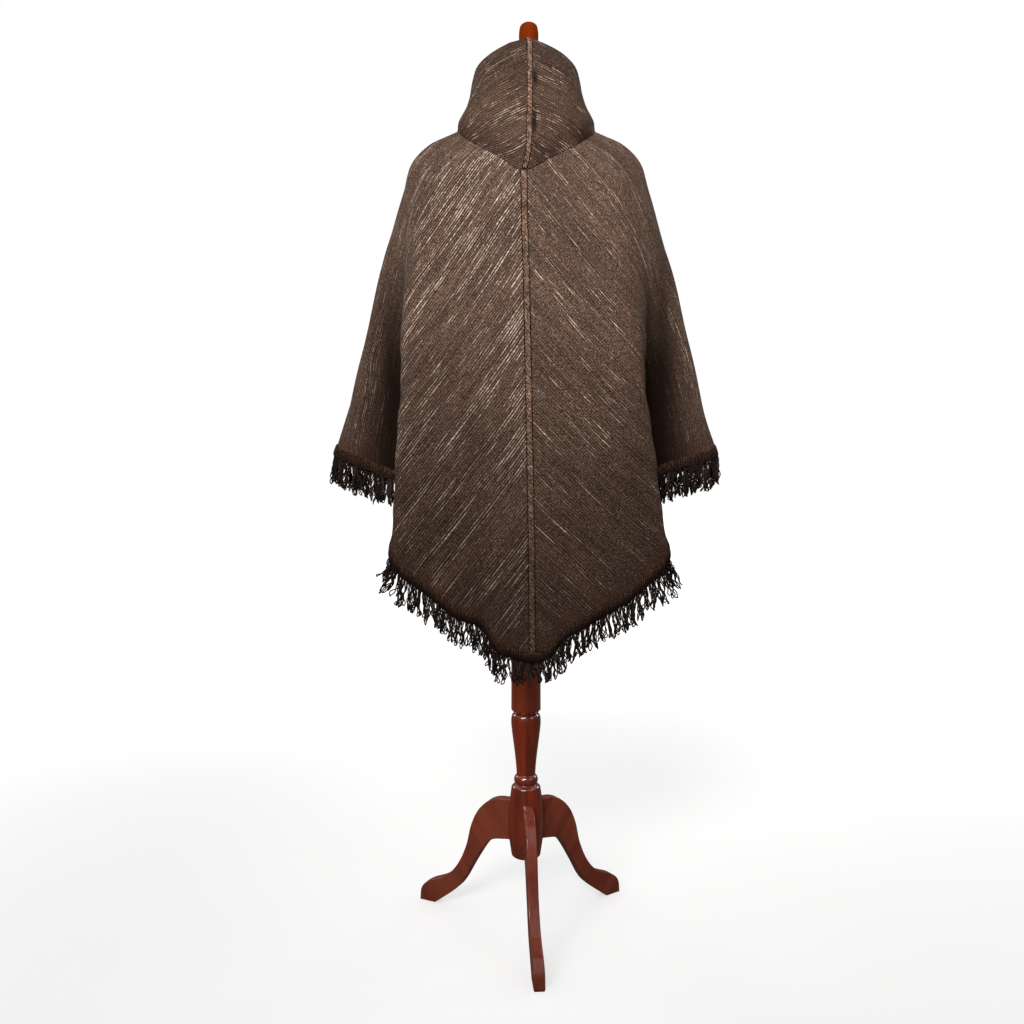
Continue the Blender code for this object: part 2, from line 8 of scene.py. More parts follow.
import bmesh
import bpy
import numpy as np
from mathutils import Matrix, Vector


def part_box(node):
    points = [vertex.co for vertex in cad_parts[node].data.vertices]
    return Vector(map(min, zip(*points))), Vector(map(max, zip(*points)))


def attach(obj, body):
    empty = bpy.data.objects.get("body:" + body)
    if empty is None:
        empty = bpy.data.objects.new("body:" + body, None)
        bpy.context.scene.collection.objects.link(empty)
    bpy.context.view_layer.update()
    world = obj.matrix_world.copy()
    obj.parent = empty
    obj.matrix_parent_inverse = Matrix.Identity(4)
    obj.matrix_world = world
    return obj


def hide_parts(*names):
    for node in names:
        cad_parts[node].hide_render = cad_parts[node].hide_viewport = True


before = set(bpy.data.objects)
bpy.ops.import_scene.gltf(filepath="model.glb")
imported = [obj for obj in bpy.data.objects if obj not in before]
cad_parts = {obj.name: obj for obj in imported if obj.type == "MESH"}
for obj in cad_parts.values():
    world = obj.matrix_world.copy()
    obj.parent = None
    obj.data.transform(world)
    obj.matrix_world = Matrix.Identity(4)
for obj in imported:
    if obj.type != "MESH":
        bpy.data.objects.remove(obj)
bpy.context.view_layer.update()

BODY = "root"
SIDES = ("left", "right")
SEED = 17                 # of the fringe's and the edging's small irregularities
AXIS_Y = 0.029            # the post's axis stands here, at x = 0

# Camera: level, opposite the post, with a slight downward pitch.
FRAME_PX = 1024
FOCAL_PX = 831.0
HORIZON_PX = 505.0
AXIS_PX = 526.0
CAMERA_DISTANCE = 1.61
CAMERA_HEIGHT = 0.81
SENSOR = 36.0

# Cloth.
CLOTH = 0.0025
HALF_GAP = 0.00015        # from the middle plane to each half's edge
COLUMNS_BETWEEN = 24      # mesh columns between two stations of a section
ROWS_BETWEEN = 22         # mesh rows between two sections
SECTION_COLUMNS = ("name", "z_back", "z_side", "panel_y", "fold_left", "fold_right",
                   "fold_y", "valley_x", "valley_y", "flank_x", "flank_y", "side_x")
SECTIONS = (
    ("neckline", 1.411, 1.527, 0.118, 0.085, 0.085, 0.088, 0.117, 0.045, 0.127, 0.022, 0.130),
    ("yoke", 1.385, 1.497, 0.125, 0.127, 0.127, 0.099, 0.166, 0.055, 0.181, 0.027, 0.185),
    ("shoulder", 1.350, 1.464, 0.131, 0.157, 0.157, 0.107, 0.199, 0.061, 0.215, 0.030, 0.2195),
    ("upper arm", 1.300, 1.405, 0.136, 0.175, 0.165, 0.115, 0.216, 0.066, 0.234, 0.032, 0.239),
    ("chest", 1.200, 1.300, 0.142, 0.196, 0.172, 0.127, 0.231, 0.070, 0.263, 0.033, 0.271),
    ("elbow", 1.050, 1.190, 0.148, 0.212, 0.190, 0.141, 0.229, 0.070, 0.286, 0.031, 0.296),
    ("waist", 0.900, 1.090, 0.154, 0.221, 0.205, 0.150, 0.217, 0.066, 0.307, 0.029, 0.318),
    ("hip", 0.740, 1.000, 0.161, 0.228, 0.223, 0.161, 0.208, 0.063, 0.327, 0.027, 0.339),
    ("hem", 0.549, 0.924, 0.168, 0.237, 0.243, 0.170, 0.201, 0.061, 0.349, 0.026, 0.363),
)
HEIGHT_SHARE = {"middle": 0.22, "fold": 0.475, "valley": 0.79, "flank": 0.96}
MIDDLE_SHARE = 0.3        # how far the middle of the back has turned towards its fold
RIDGE_STATION = 5.0       # where the back meets the front, at each side

# Hood: arches from the neckline to the brow, each from the centre seam by the back, the
# side and the cheek to the edge of the face opening.
HOOD_ROWS_BETWEEN = 14
HOOD_STATIONS = (-2.0, 0.0, 2.0, 5.0, 8.0, 10.0)      # the first one mirrors the third
HOOD_ARCHES = (
    ("neckline", (0.0, -0.118, 1.411), (0.085, -0.088, 1.466), (0.130, 0.0, 1.527),
     (0.085, 0.088, 1.466), (0.0, 0.118, 1.411)),
    ("roll", (0.0, -0.1315, 1.452), (0.089, -0.0965, 1.498), (0.1305, 0.0, 1.541),
     (0.088, 0.088, 1.500), (0.026, 0.118, 1.445)),
    ("throat", (0.0, -0.1265, 1.505), (0.081, -0.098, 1.543), (0.1155, -0.008, 1.562),
     (0.092, 0.066, 1.535), (0.052, 0.100, 1.485)),
    ("nape", (0.0, -0.121, 1.560), (0.073, -0.095, 1.583), (0.1075, -0.015, 1.592),
     (0.098, 0.042, 1.575), (0.075, 0.078, 1.530)),
    ("temple", (0.0, -0.115, 1.610), (0.068, -0.088, 1.618), (0.101, -0.022, 1.620),
     (0.100, 0.018, 1.608), (0.088, 0.048, 1.580)),
    ("crown", (0.0, -0.095, 1.651), (0.054, -0.074, 1.646), (0.091, -0.028, 1.643),
     (0.095, 0.000, 1.640), (0.092, 0.022, 1.620)),
    ("top", (0.0, -0.058, 1.677), (0.038, -0.048, 1.671), (0.074, -0.026, 1.662),
     (0.083, -0.010, 1.655), (0.086, 0.004, 1.642)),
    ("brow", (0.0, -0.024, 1.6945), (0.026, -0.022, 1.6913), (0.048, -0.018, 1.682),
     (0.064, -0.011, 1.672), (0.077, -0.004, 1.659)),
)
HOOD_GAP = 0.0006         # from the panel's outer face to the hood's lower edge
HOOD_LAP = 0.003          # how far that edge reaches down over the panel
HOOD_FIT_FADE = 0.12      # share of the hood's height over which it follows the neckline

# Puckers beside the hood's seam: side, metres from the seam, height, half width, half
# length, rise.
HOOD_CREASES = (
    ("right", 0.0100, 1.574, 0.0045, 0.017, -0.0042),
    ("right", 0.0095, 1.494, 0.0045, 0.034, -0.0048),
    ("right", 0.0180, 1.510, 0.0060, 0.030, 0.0016),
    ("left", 0.0105, 1.530, 0.0050, 0.022, -0.0020),
    ("left", 0.0110, 1.600, 0.0050, 0.015, -0.0016),
    ("right", 0.0110, 1.630, 0.0050, 0.012, -0.0018),
)
HOOD_CREASE_DEPTH = 0.0048      # the deepest of them

# The hood's yarns: how far up its seam, and how many degrees they slant down from it there.
HOOD_SLANT_UP = (0.0, 0.12, 0.24, 0.34)
HOOD_SLANT = (40.0, 36.0, 25.0, 12.0)
HOOD_YARN_SCALE = (0.95, 1.4)   # how closely they lie, and how short their streaks are
HOOD_YARN_START = {"left": 1.0, "right": 3.0}   # so that each half has its own yarns
HOOD_LAP_SLANT = (0.6, 0.8)     # the yarns on the hood seam's lap, by x and z

# Creases, as ridges (+) and troughs (-): side, both ends as station and section, half
# width, height.
CREASES = (
    ("left", 1.05, 1.6, 1.25, 7.2, 0.042, 0.0040),
    ("left", 0.45, 2.6, 0.55, 8.0, 0.034, -0.0030),
    ("left", 1.65, 3.2, 1.60, 8.0, 0.026, -0.0040),
    ("left", 4.05, 3.0, 3.85, 8.0, 0.020, 0.0045),
    ("left", 4.60, 2.0, 4.45, 7.6, 0.022, -0.0035),
    ("right", 0.85, 2.2, 1.05, 7.6, 0.046, 0.0035),
    ("right", 1.50, 3.6, 1.45, 8.0, 0.030, -0.0040),
    ("right", 0.35, 4.5, 0.40, 8.0, 0.030, -0.0025),
    ("right", 4.00, 3.4, 3.90, 8.0, 0.022, 0.0050),
    ("right", 4.55, 2.4, 4.50, 8.0, 0.020, -0.0035),
    ("left", 5.60, 1.8, 5.75, 8.0, 0.022, 0.0040),
    ("left", 8.35, 3.0, 8.45, 8.0, 0.030, -0.0045),
    ("left", 8.90, 1.8, 8.85, 7.4, 0.040, 0.0040),
    ("left", 9.55, 3.5, 9.50, 8.0, 0.030, -0.0030),
    ("right", 5.75, 2.4, 5.95, 8.0, 0.020, 0.0035),
    ("right", 8.50, 2.6, 8.55, 8.0, 0.028, -0.0040),
    ("right", 9.10, 1.6, 8.95, 7.8, 0.044, 0.0045),
)
CREASE_BOW = 0.10         # how far a crease bows, as a share of its half width
CREASE_BOW_TURN = 9.0     # radians of that bow over its length
CREASE_STARTS = 0.35      # share of its length over which it rises
CREASE_ENDS = (1.25, 0.3)       # the share of its length where it is gone, and its fade
WAVES = ((0.21, 0.35), (0.13, -0.22), (0.083, 0.17), (0.061, -0.4))      # length, slant
WAVE_HEIGHT = 0.0009
WAVE_SHIFT = 1.7          # radians between one wave and the next
NECK_CALM = 1.2           # the sections below the neckline where creases and waves fade in

# Where the hem dips (-) or lifts (+): side, station, half width in stations, rise.
HEM_WAVES = (
    ("left", 0.48, 0.14, -0.013),
    ("left", 0.74, 0.09, 0.008),
    ("left", 1.12, 0.20, -0.011),
    ("left", 3.45, 0.25, -0.004),
    ("left", 8.30, 0.35, -0.009),
    ("left", 9.20, 0.30, 0.006),
    ("right", 0.50, 0.20, 0.012),
    ("right", 1.25, 0.28, -0.007),
    ("right", 3.55, 0.30, 0.004),
    ("right", 8.70, 0.30, -0.010),
    ("right", 9.40, 0.25, 0.007),
)
HEM_WAVE_REACH = 0.09     # how far up the cloth a hem wave fades
HEM_ROWS = 4              # mesh rows that give the way in which the cloth hangs at its hem
WAVE_ROWS = 7             # and the way in which a hem wave moves

# Yarns.
YARN_PITCH = 0.0045
YARN_WANDER = 0.0038      # how unevenly the yarns are spaced
PICK_LENGTH = 0.0013      # between two crossing yarns
FRONT_ALONG = 3.7         # the same yarns further along, so that the front's streaks are its own
YARN_RISE = {"left": (53.0, 56.0), "right": (42.5, 53.5)}    # degrees, low and high up
YARN_RISE_AT = (0.72, 1.30)     # the heights that these belong to
YARN_BEND = 1.6           # how much more the yarns climb away from the seams, per metre
YARN_BEND_FROM = 0.20     # metres from the seam where that starts
SIDE_SOFTNESS = 0.005     # over this the yarns turn from the back to the front

# The centre seams wander a little: section or arch, sideways shift.
SEAM_DRIFT = ((0.0, -0.0060), (3.0, -0.0045), (5.0, 0.0015), (7.0, 0.0070), (8.0, 0.0085))
SEAM_DRIFT_HOLD = 1.9     # stations that share it
HOOD_DRIFT = ((0.0, 0.0), (1.0, 0.0030), (3.0, 0.0050), (5.0, 0.0045), (7.0, 0.0))
HOOD_DRIFT_HOLD = 4.0

# Seams and stitches.
FELL_HALF = 0.0062
HOOD_FELL_HALF = 0.0050
FELL_RISE = 0.0022
FELL_THICK = 0.0009
FELL_SECTION = ((0.0, 0.95), (0.4, 1.0), (0.72, 0.85), (0.84, 0.35), (0.93, 0.55),
                (1.0, 0.15))    # shares of the half width and of the rise
FELL_PUCKER = 0.10        # how far each stitch lifts the edge, as a share of the rise
FELL_PUCKER_FROM = 0.6    # and how far out, as a share of the half width
FELL_WAVE = (0.07, 0.031)       # slow waves: share of the rise, length
LAP_STRIPES = 0.75        # share of the yarns' pitch that shows on a seam's lap
SEAM_COLUMNS = 12         # mesh columns of each half that a seam is laid over
SEAM_FIRST_ROW = 3        # the centre seams start this many rows below the neckline
SEAM_YARN_COLUMNS = 6     # mesh columns over which the yarns' slant beside a seam is taken
STITCH_OUT = 0.84         # as a share of a seam's half width
STITCH_PITCH = 0.0046
STITCH_LENGTH = 0.0032
STITCH_RADIUS = 0.00042
STITCH_ARCH = (-1.35, 0.75, 1.2, 0.75, -1.35)    # its lift along its length, in radii
STITCH_HEIGHT = 0.55      # share of the seam's rise where it lies
STITCH_SIDES = 4

# Hem edging, as its section: down from the hem, out from the cloth's outer face.
EDGING_SECTION = (
    (-0.0050, 0.0004), (-0.0042, 0.0019), (-0.0015, 0.0024), (0.0030, 0.0022),
    (0.0080, 0.0021), (0.0125, 0.0017), (0.0150, 0.0003), (0.0154, -0.0016),
    (0.0140, -0.0036), (0.0100, -0.0044), (0.0040, -0.0046), (-0.0020, -0.0044),
    (-0.0048, -0.0036), (-0.0050, -0.0028),
)
EDGING_WOBBLE = 0.00035
EDGING_STEP = 0.004       # along the hem
EDGING_RIBS = (0.10, 0.0043)    # its ribs: share of its thickness, spacing
EDGING_SWELL = (0.12, 0.023, 1.0)       # slow swelling: share, length of a radian, start

# Fringe.
LOCK_PITCH = 0.0029
LOCK_LENGTHS = ((0.0, 0.031), (0.35, 0.045), (2.0, 0.047), (3.0, 0.052))     # by station
LOCK_SPREAD = 0.008
LOCK_STEPS = 20           # points down each of a lock's two plies
LOCK_SIDES = 5
LOCK_TURNS = 1.5
LOCK_TURN_RANGE = (0.3, 1.2)
LOCK_JITTER = (-0.3, 0.3)       # of the pitch
LOCK_LEAN = (-0.20, 0.20)       # along the hem
LOCK_TILT = (-0.10, 0.16)       # out from the cloth
LOCK_DEPTH = (-0.0030, -0.0002)
LOCK_ROOT = 0.0125        # below the hem line
LOCK_WAVER = ((0.0032, 0.9), (0.0012, 2.2))      # sideways waves: height, turns
LOCK_SWAY = ((0.0024, 1.0), (0.0012, 2.4))       # and waves in and out
LOCK_WAVE_GROWTH = 0.6
LOCK_TIP = 0.045          # share of its length where the two plies part from the loop's end
LOOP_OPEN = (-0.4, 1.3)
LOOP_STARTS = (0.35, 0.7)
LOOP_GROWS = 0.3
YARN_RADIUS = 0.00112
PLY_RADIUS = 0.0013
LOOP_RADIUS = 0.0034
CORNER_SPLAY = (0.62, 2.0, 0.30)        # extra lean at a corner, its station, half width

# Stand.
TURNED_STEPS = 96
TURNED_SMOOTH = 4
CORNER_BEND = 38.0        # degrees; sharper bends of a profile stay corners
LEG_SMOOTH = 7
LEG_TOP_EDGE = ((0.0288, 0.236), (0.059, 0.234), (0.081, 0.224), (0.1025, 0.202),
                (0.117, 0.1715), (0.128, 0.129), (0.147, 0.089), (0.173, 0.061),
                (0.212, 0.043), (0.231, 0.026), (0.235, 0.0))
LEG_UNDER_EDGE = ((0.200, 0.0), (0.155, 0.034), (0.133, 0.0575), (0.110, 0.097),
                  (0.088, 0.132), (0.074, 0.148), (0.059, 0.154), (0.0288, 0.158))
LEG_THICK = 0.020
LEG_ROUNDING = 0.0025
LEG_ANGLES = (-85.4, 34.6, 154.6)
TURNED_WELD = 0.00002     # points closer than these are one point
LEG_WELD = 0.00005
FORM_WELD = 0.0001
TURNED_PIECES = (         # name, node, wood, slot, rounding of its edges
    ("rod_and_rest", "hood_rod", "amber", "amber_wood", 0.0010),
    ("cap_disc", "neck_cap", "red", "mahogany", 0.0008),
    ("pole", "post_pole", "pole red", "mahogany", 0.0012),
    ("baluster", "post_turned", "red", "mahogany", 0.0008),
)

# Colours, as sRGB shares.
TAN = (0.66, 0.583, 0.523)
YARN_DYES = ((0.178, 0.128, 0.102), (0.438, 0.354, 0.304), TAN)     # dark, brown and tan
HOOD_DYES = ((0.145, 0.105, 0.083), (0.33, 0.257, 0.216), (0.54, 0.465, 0.412))
LAP_DYES = ((0.20, 0.145, 0.12), (0.52, 0.42, 0.355), TAN)
EDGING_DYES = ((0.07, 0.042, 0.030), (0.30, 0.215, 0.17), (0.438, 0.354, 0.304))
# the colour of painted shade: inside the folds, low down the cloth, along the seams and in the
# hood's puckers
PAINTED_SHADE_BROWN = (0.06, 0.03, 0.015)
# the colour of painted shade just above the hem
HEM_SHADE_BROWN = (0.23, 0.15, 0.115)
FRINGE_DYES = ((0.10, 0.068, 0.052), (0.220, 0.156, 0.124))
THREAD_DYES = ((0.12, 0.085, 0.07),) * 2
FRINGE_TWIST = 0.006      # length of one turn of the ply
THREAD_TWIST = 0.002
WEAVE_RELIEF = 0.0007     # how deep each surface's relief looks
YARN_RELIEF = 0.0005
WOOD_RELIEF = 0.00012
LINEN_RELIEF = 0.0004
LINEN = (0.80, 0.77, 0.71)
WOODS = {       # material, light and dark, size of the grain, gloss, turn in degrees
    "amber": ("amber_wood", (0.41, 0.135, 0.002), (0.31, 0.09, 0.002),
              (0.006, 0.006, 0.083), 0.0, 0.0),
    "red": ("mahogany", (0.50, 0.15, 0.036), (0.20, 0.045, 0.02),
            (0.0067, 0.0067, 0.11), 1.0, 0.0),
    # the pole's red is lighter and more orange than the baluster's: partly its own hue, partly
    # painted light that makes up for the cloth's shadow on it
    "pole red": ("pole_mahogany", (0.58, 0.21, 0.075), (0.30, 0.08, 0.03),
                 (0.0067, 0.0067, 0.11), 1.0, 0.0),
    "sawn": ("sawn_mahogany", (0.52, 0.25, 0.175), (0.38, 0.15, 0.10),
             (0.071, 0.012, 0.0067), 0.4, 52.0),
}
FLOOR = (0.72, 0.715, 0.71)
FLOOR_BOUNCE = (0.42, 0.33, 0.27)       # what the floor gives back to the object
FLOOR_RADIUS = 60.0
WHITE = (1.0, 1.0, 1.0, 1.0)

# Light. The sky and the floor change from a low to a high place, between two values.
SKY_SEEN = 1.0
SKY_LIGHT = (0.35, 0.95, 0.12, 0.9)     # by the height of a direction's unit vector
FLOOR_LIFT = (0.5, 3.6, 0.60, 0.96)     # how far the floor is lightened, by distance
BACK_AIM = (0.0, 0.0, 1.42)
LIGHTS = (      # name, place, degrees across the beam, softness, power, aim
    ("key", (-0.45, -2.0, 2.15), 58.0, 0.45, 420.0, BACK_AIM),
    ("fill", (1.9, -1.5, 1.7), 60.0, 0.45, 60.0, BACK_AIM),
    ("low", (-0.9, -1.5, 1.2), 46.0, 0.35, 60.0, (0.0, 0.0, 0.32)),
    ("hood light", (0.6, -1.6, 1.0), 13.0, 0.35, 75.0, (0.06, -0.1, 1.495)),
    ("side", (-1.9, 1.5, 1.7), 60.0, 0.45, 130.0, BACK_AIM),
    ("side", (1.9, 1.5, 1.7), 60.0, 0.45, 130.0, BACK_AIM),
)

# Where the wool changes, and where shade and light are painted into its colour. A span is a low
# and a high place, and often the values there; "aside" counts stations from a side ridge,
# "above" is metres above the hem.
STREAKS = {"left": 0.70, "right": 0.24,          # how many light streaks each cloth has
           "hood": 0.42, "lap": 0.05, "edging": 0.0}
SEAM_STREAKS = {"left": 0.28, "right": 0.10}     # how many more there are by the seams
SEAM_SPAN = (4.5, 4.85)                          # aside
WING_STREAKS = 0.62       # share of the streaks that the sides go without
WING_SPAN = (1.6, 2.7)                           # aside
RIDGE_STREAKS = (0.2, 1.3, -0.6, 0.0)            # aside
LOW_STREAKS = 0.30        # how much rarer the streaks become low down the middle
RIBS = {"left": 0.85, "right": 0.60,             # how deep the grooves between yarns look
        "hood": 0.7, "lap": 0.15, "edging": 0.85}
RIDGE_RIBS = 0.15         # share of that on the ridge
RIB_SPAN = (0.15, 1.2)                           # aside
HEM_SPAN = (0.0, 0.05, 0.55, 0.0)                # painted shade just over the hem, by above
FOLD_PAINTED_SHADE = 0.96         # how much painted shade darkens the wool inside the side folds
FOLD_IN_SPAN = (3.0, 2.6)                        # aside
FOLD_OUT_SPAN = (1.0, 1.6)                       # aside
FOLD_UP_SPAN = (0.46, 0.16)                      # above
LOW_PAINTED_SHADE = 0.50          # and painted shade low down the middle of the back and front, where less light falls
LOW_SPAN = (2.6, 3.2)                            # aside
LOW_UP_SPAN = (0.55, 0.05)                       # above
LAP_RUN_SHADE_SPAN = (0.30, 0.85, 0.0, 0.52)           # painted shade down a seam's lap, in metres
LAP_EDGE_SHADE_SPAN = (0.66, 0.80, 0.0, 0.92)          # painted shade in the grooves along its stitched edges: across it, as a share of its half width
HOOD_PAINTED_LIGHT_SPAN = (0.15, 0.70, 1.42, 1.0)         # painted light, strongest low on the hood: up the hood, as a share of its height
HOOD_CREASE_SHADE_SPAN = (0.1, 0.9, 0.0, 0.9)          # painted shade into a pucker, as a share of its depth
EDGING_SHADE_SPAN = (1.9, 2.4, 0.95, 0.45)             # painted shade on the edging, by station
EDGING_DOWN_SHADE_SPAN = (-0.003, 0.011)               # painted shade down the edging, in metres

# The weave's noises, as scales across and along the yarns. Where each yarn has its own,
# the first one spreads the yarns' numbers.
WANDER_SCALES = (120.0, 6.0)
CLUSTER_SCALES = (32.0, 4.2)
DYE_SCALES = (3.71, 16.0)
DASH_SCALES = (5.37, 230.0)
CLOUD_SCALES = (9.0, 5.0)
LINE_SCALES = (7.93, 7.0)
MOTTLE_SCALES = (300.0, 240.0)
FUZZ_SCALES = (3.0, 900.0)
STREAK_SHARPNESS = 5.5    # how narrow a light streak is on its yarn
STREAK_STARTS = (-0.22, 0.68)   # the dye where streaks start: by how many there are, and at none
STREAK_CLUSTER = 0.17     # how much sooner they start in a cluster
STREAK_EDGE = 0.26        # how softly they start
STRANDS = 3.0             # in a yarn


# ---------------------------------------------------------------- curves and grids

def through(knots, points, at):
    """Points on a smooth curve through the given points, which lie at knots."""
    knots = np.asarray(knots, float)
    points = np.asarray(points, float)
    at = np.asarray(at, float)
    slopes = np.gradient(points, knots, axis=0)
    left = np.clip(np.searchsorted(knots, at, side="right") - 1, 0, len(knots) - 2)
    column = (-1,) + (1,) * (points.ndim - 1)
    width = (knots[left + 1] - knots[left]).reshape(column)
    s = ((at - knots[left]).reshape(column)) / width
    start = (1 + 2 * s) * (1 - s) ** 2 * points[left]
    leave = s * (1 - s) ** 2 * width * slopes[left]
    end = s * s * (3 - 2 * s) * points[left + 1]
    arrive = s * s * (s - 1) * width * slopes[left + 1]
    return start + leave + end + arrive


def between(knots, parts):
    """Every knot, with the steps that cut each stretch into equal parts."""
    steps = [np.linspace(a, b, parts, endpoint=False) for a, b in zip(knots[:-1], knots[1:])]
    return np.append(np.concatenate(steps), knots[-1])


def run_lengths(table):
    """How far each row of points lies from the first, as the mean over its stations."""
    steps = np.linalg.norm(np.diff(table, axis=0), axis=2).mean(axis=1)
    return np.concatenate(([0.0], np.cumsum(steps)))


def unit(vectors):
    """Vectors at length one."""
    return vectors / np.linalg.norm(vectors, axis=-1, keepdims=True)


def outward(grid):
    """Unit normals of a grid of points, pointing away from the post's axis."""
    normals = unit(np.cross(np.gradient(grid, axis=1), np.gradient(grid, axis=0)))
    away = (grid - (0.0, AXIS_Y, 0.0)) * (1.0, 1.0, 0.0)
    return normals * np.sign((normals * away).sum())


def lengths_along(grid, axis):
    """Distance along the grid's rows or columns from their first point."""
    steps = np.linalg.norm(np.diff(grid, axis=axis), axis=2)
    start = np.zeros_like(np.take(steps, [0], axis=axis))
    return np.concatenate((start, np.cumsum(steps, axis=axis)), axis=axis)


def ease(share):
    """A smooth step from 0 to 1."""
    share = np.clip(share, 0.0, 1.0)
    return share * share * (3 - 2 * share)


def at_places(places, run, points):
    """Points, or vectors, taken off a line at distances along it."""
    return np.stack([np.interp(places, run, points[:, c]) for c in range(3)], axis=-1)


def lofted(table, rows_between, stations, at):
    """A grid of points on smooth curves through a table of sections, and its rows' places."""
    knots = run_lengths(table)
    places = between(knots, rows_between)
    sections = through(knots, table, places).transpose(1, 0, 2)
    return through(stations, sections, at).transpose(1, 0, 2), places


def on_side(grid, side):
    """A half that was drawn at +X, on its own side and round the post's axis."""
    return grid * (-1.0 if side == "left" else 1.0, 1.0, 1.0) + (0.0, AXIS_Y, 0.0)


def drifted(grid, row, station, drift, hold):
    """A grid whose middle is shifted sideways, where its seam wanders."""
    shift = np.interp(row, *zip(*drift))
    grid[:, :, 0] += shift[:, None] * (1 - ease(station / hold))[None]
    return grid


# ---------------------------------------------------------------- cloth surfaces

def section_points(row, fold_x):
    """The stations of one section, from the centre back round one side to the front."""
    rise = row["z_side"] - row["z_back"]
    middle_y = row["panel_y"] + (row["fold_y"] - row["panel_y"]) * MIDDLE_SHARE
    back = (
        (0.0, -row["panel_y"], row["z_back"]),
        (fold_x / 2, -middle_y, row["z_back"] + rise * HEIGHT_SHARE["middle"]),
        (fold_x, -row["fold_y"], row["z_back"] + rise * HEIGHT_SHARE["fold"]),
        (row["valley_x"], -row["valley_y"], row["z_back"] + rise * HEIGHT_SHARE["valley"]),
        (row["flank_x"], -row["flank_y"], row["z_back"] + rise * HEIGHT_SHARE["flank"]),
    )
    side = ((row["side_x"], 0.0, row["z_side"]),)
    front = tuple((x, -y, z) for x, y, z in reversed(back))
    ring = back + side + front
    before = (-back[1][0], back[1][1], back[1][2])
    after = (-front[-2][0], front[-2][1], front[-2][2])
    return (before,) + ring + (after,)


def plain_drape(side):
    """Half of the poncho before its creases: points, and each one's station and section."""
    rows = [dict(zip(SECTION_COLUMNS, row)) for row in SECTIONS]
    table = np.array([section_points(row, row[f"fold_{side}"]) for row in rows])
    stations = np.arange(-1.0, table.shape[1] - 1.0)
    station = between(stations[1:-1], COLUMNS_BETWEEN)
    grid, _ = lofted(table, ROWS_BETWEEN, stations, station)
    grid[:, (0, -1), 0] = HALF_GAP
    section = between(np.arange(len(rows), dtype=float), ROWS_BETWEEN)
    return on_side(grid, side), station, section


def meeting_point(a, from_a, b, from_b):
    """The point at given distances from a and from b, on the right of the way from a to b."""
    gap = b - a
    length = np.linalg.norm(gap)
    along = (from_a ** 2 - from_b ** 2 + length ** 2) / (2 * length)
    off = math.sqrt(max(from_a ** 2 - along ** 2, 0.0))
    ahead = gap / length
    return a + ahead * along + np.array((ahead[1], -ahead[0])) * off


def flat_cut(grid):
    """Where each point of a half lies in the flat cloth.

    Across is measured from the shoulder line, + towards the back; along runs up that line.
    """
    half = grid.shape[1] // 2
    down = lengths_along(grid, 0)
    back = lengths_along(grid[:, :half + 1], 1)
    front = lengths_along(grid[:, :half - 1:-1], 1)
    across, along = [], []
    for ring, fall, sign in ((back, down[:, :half + 1], 1), (front, down[:, :half - 1:-1], -1)):
        seam = unit(grid[0, 0] - grid[-1, 0])
        first = 0 if sign > 0 else -1
        hem = unit(grid[-1, half] - grid[-1, first])
        angle = math.acos(float(seam @ hem))
        tip = np.zeros(2)
        neck = np.array((0.0, fall[-1, 0]))
        side = ring[-1, -1] * np.array((math.sin(angle), math.cos(angle)))
        neck_side = meeting_point(side, fall[-1, -1], neck, ring[0, -1])
        u = (ring / ring[:, -1:])[..., None]
        v = (fall / fall[-1:])[..., None]
        flat = (1 - v) * ((1 - u) * neck + u * neck_side) + v * ((1 - u) * tip + u * side)
        up = unit(neck_side - side)
        out = np.array((-up[1], up[0]))
        out *= np.sign(out @ (tip - side))
        across.append((flat - side) @ out * sign)
        along.append((flat - side) @ up)
    merged = [np.concatenate((b, f[:, -2::-1]), axis=1) for b, f in (across, along)]
    return merged[0], merged[1]


def crease_heights(side, station, section, across, along):
    """How far the creases and waves stand out of, or sink into, the plain cloth."""
    height = np.zeros_like(across)
    for where, *places, half_width, rise in CREASES:
        if where != side:
            continue
        ends = []
        for at_station, at_section in (places[:2], places[2:]):
            i = int(np.abs(section - at_section).argmin())
            j = int(np.abs(station - at_station).argmin())
            ends.append(np.array((across[i, j], along[i, j])))
        way = ends[1] - ends[0]
        length = np.linalg.norm(way)
        way = way / length
        offset = np.stack((across - ends[0][0], along - ends[0][1]), axis=-1)
        run = offset @ way / length
        bow = CREASE_BOW * half_width * np.sin(run * CREASE_BOW_TURN + places[0])
        apart = (offset @ np.array((-way[1], way[0])) + bow) / half_width
        gone, fade = CREASE_ENDS
        reach = ease(run / CREASE_STARTS) * ease((gone - run) / fade)
        height += rise * np.exp(-apart ** 2) * reach
    for k, (long, slant) in enumerate(WAVES):
        turn = 2 * math.pi * (across + along * slant) / long
        height += WAVE_HEIGHT * np.sin(turn + WAVE_SHIFT * k)
    return height * ease(section / NECK_CALM)[:, None]


def add_hem_waves(grid, side, station, down):
    """Let the hem dip and lift, fading up the cloth."""
    to_hem = down[-1:] - down
    fade = np.exp(-(to_hem / HEM_WAVE_REACH) ** 2)
    fall = unit(grid[-1] - grid[-1 - WAVE_ROWS])
    for where, place, half_width, rise in HEM_WAVES:
        if where == side:
            bump = np.exp(-((station - place) / half_width) ** 2)
            grid -= (fade * bump * rise)[..., None] * fall[None]
    return grid


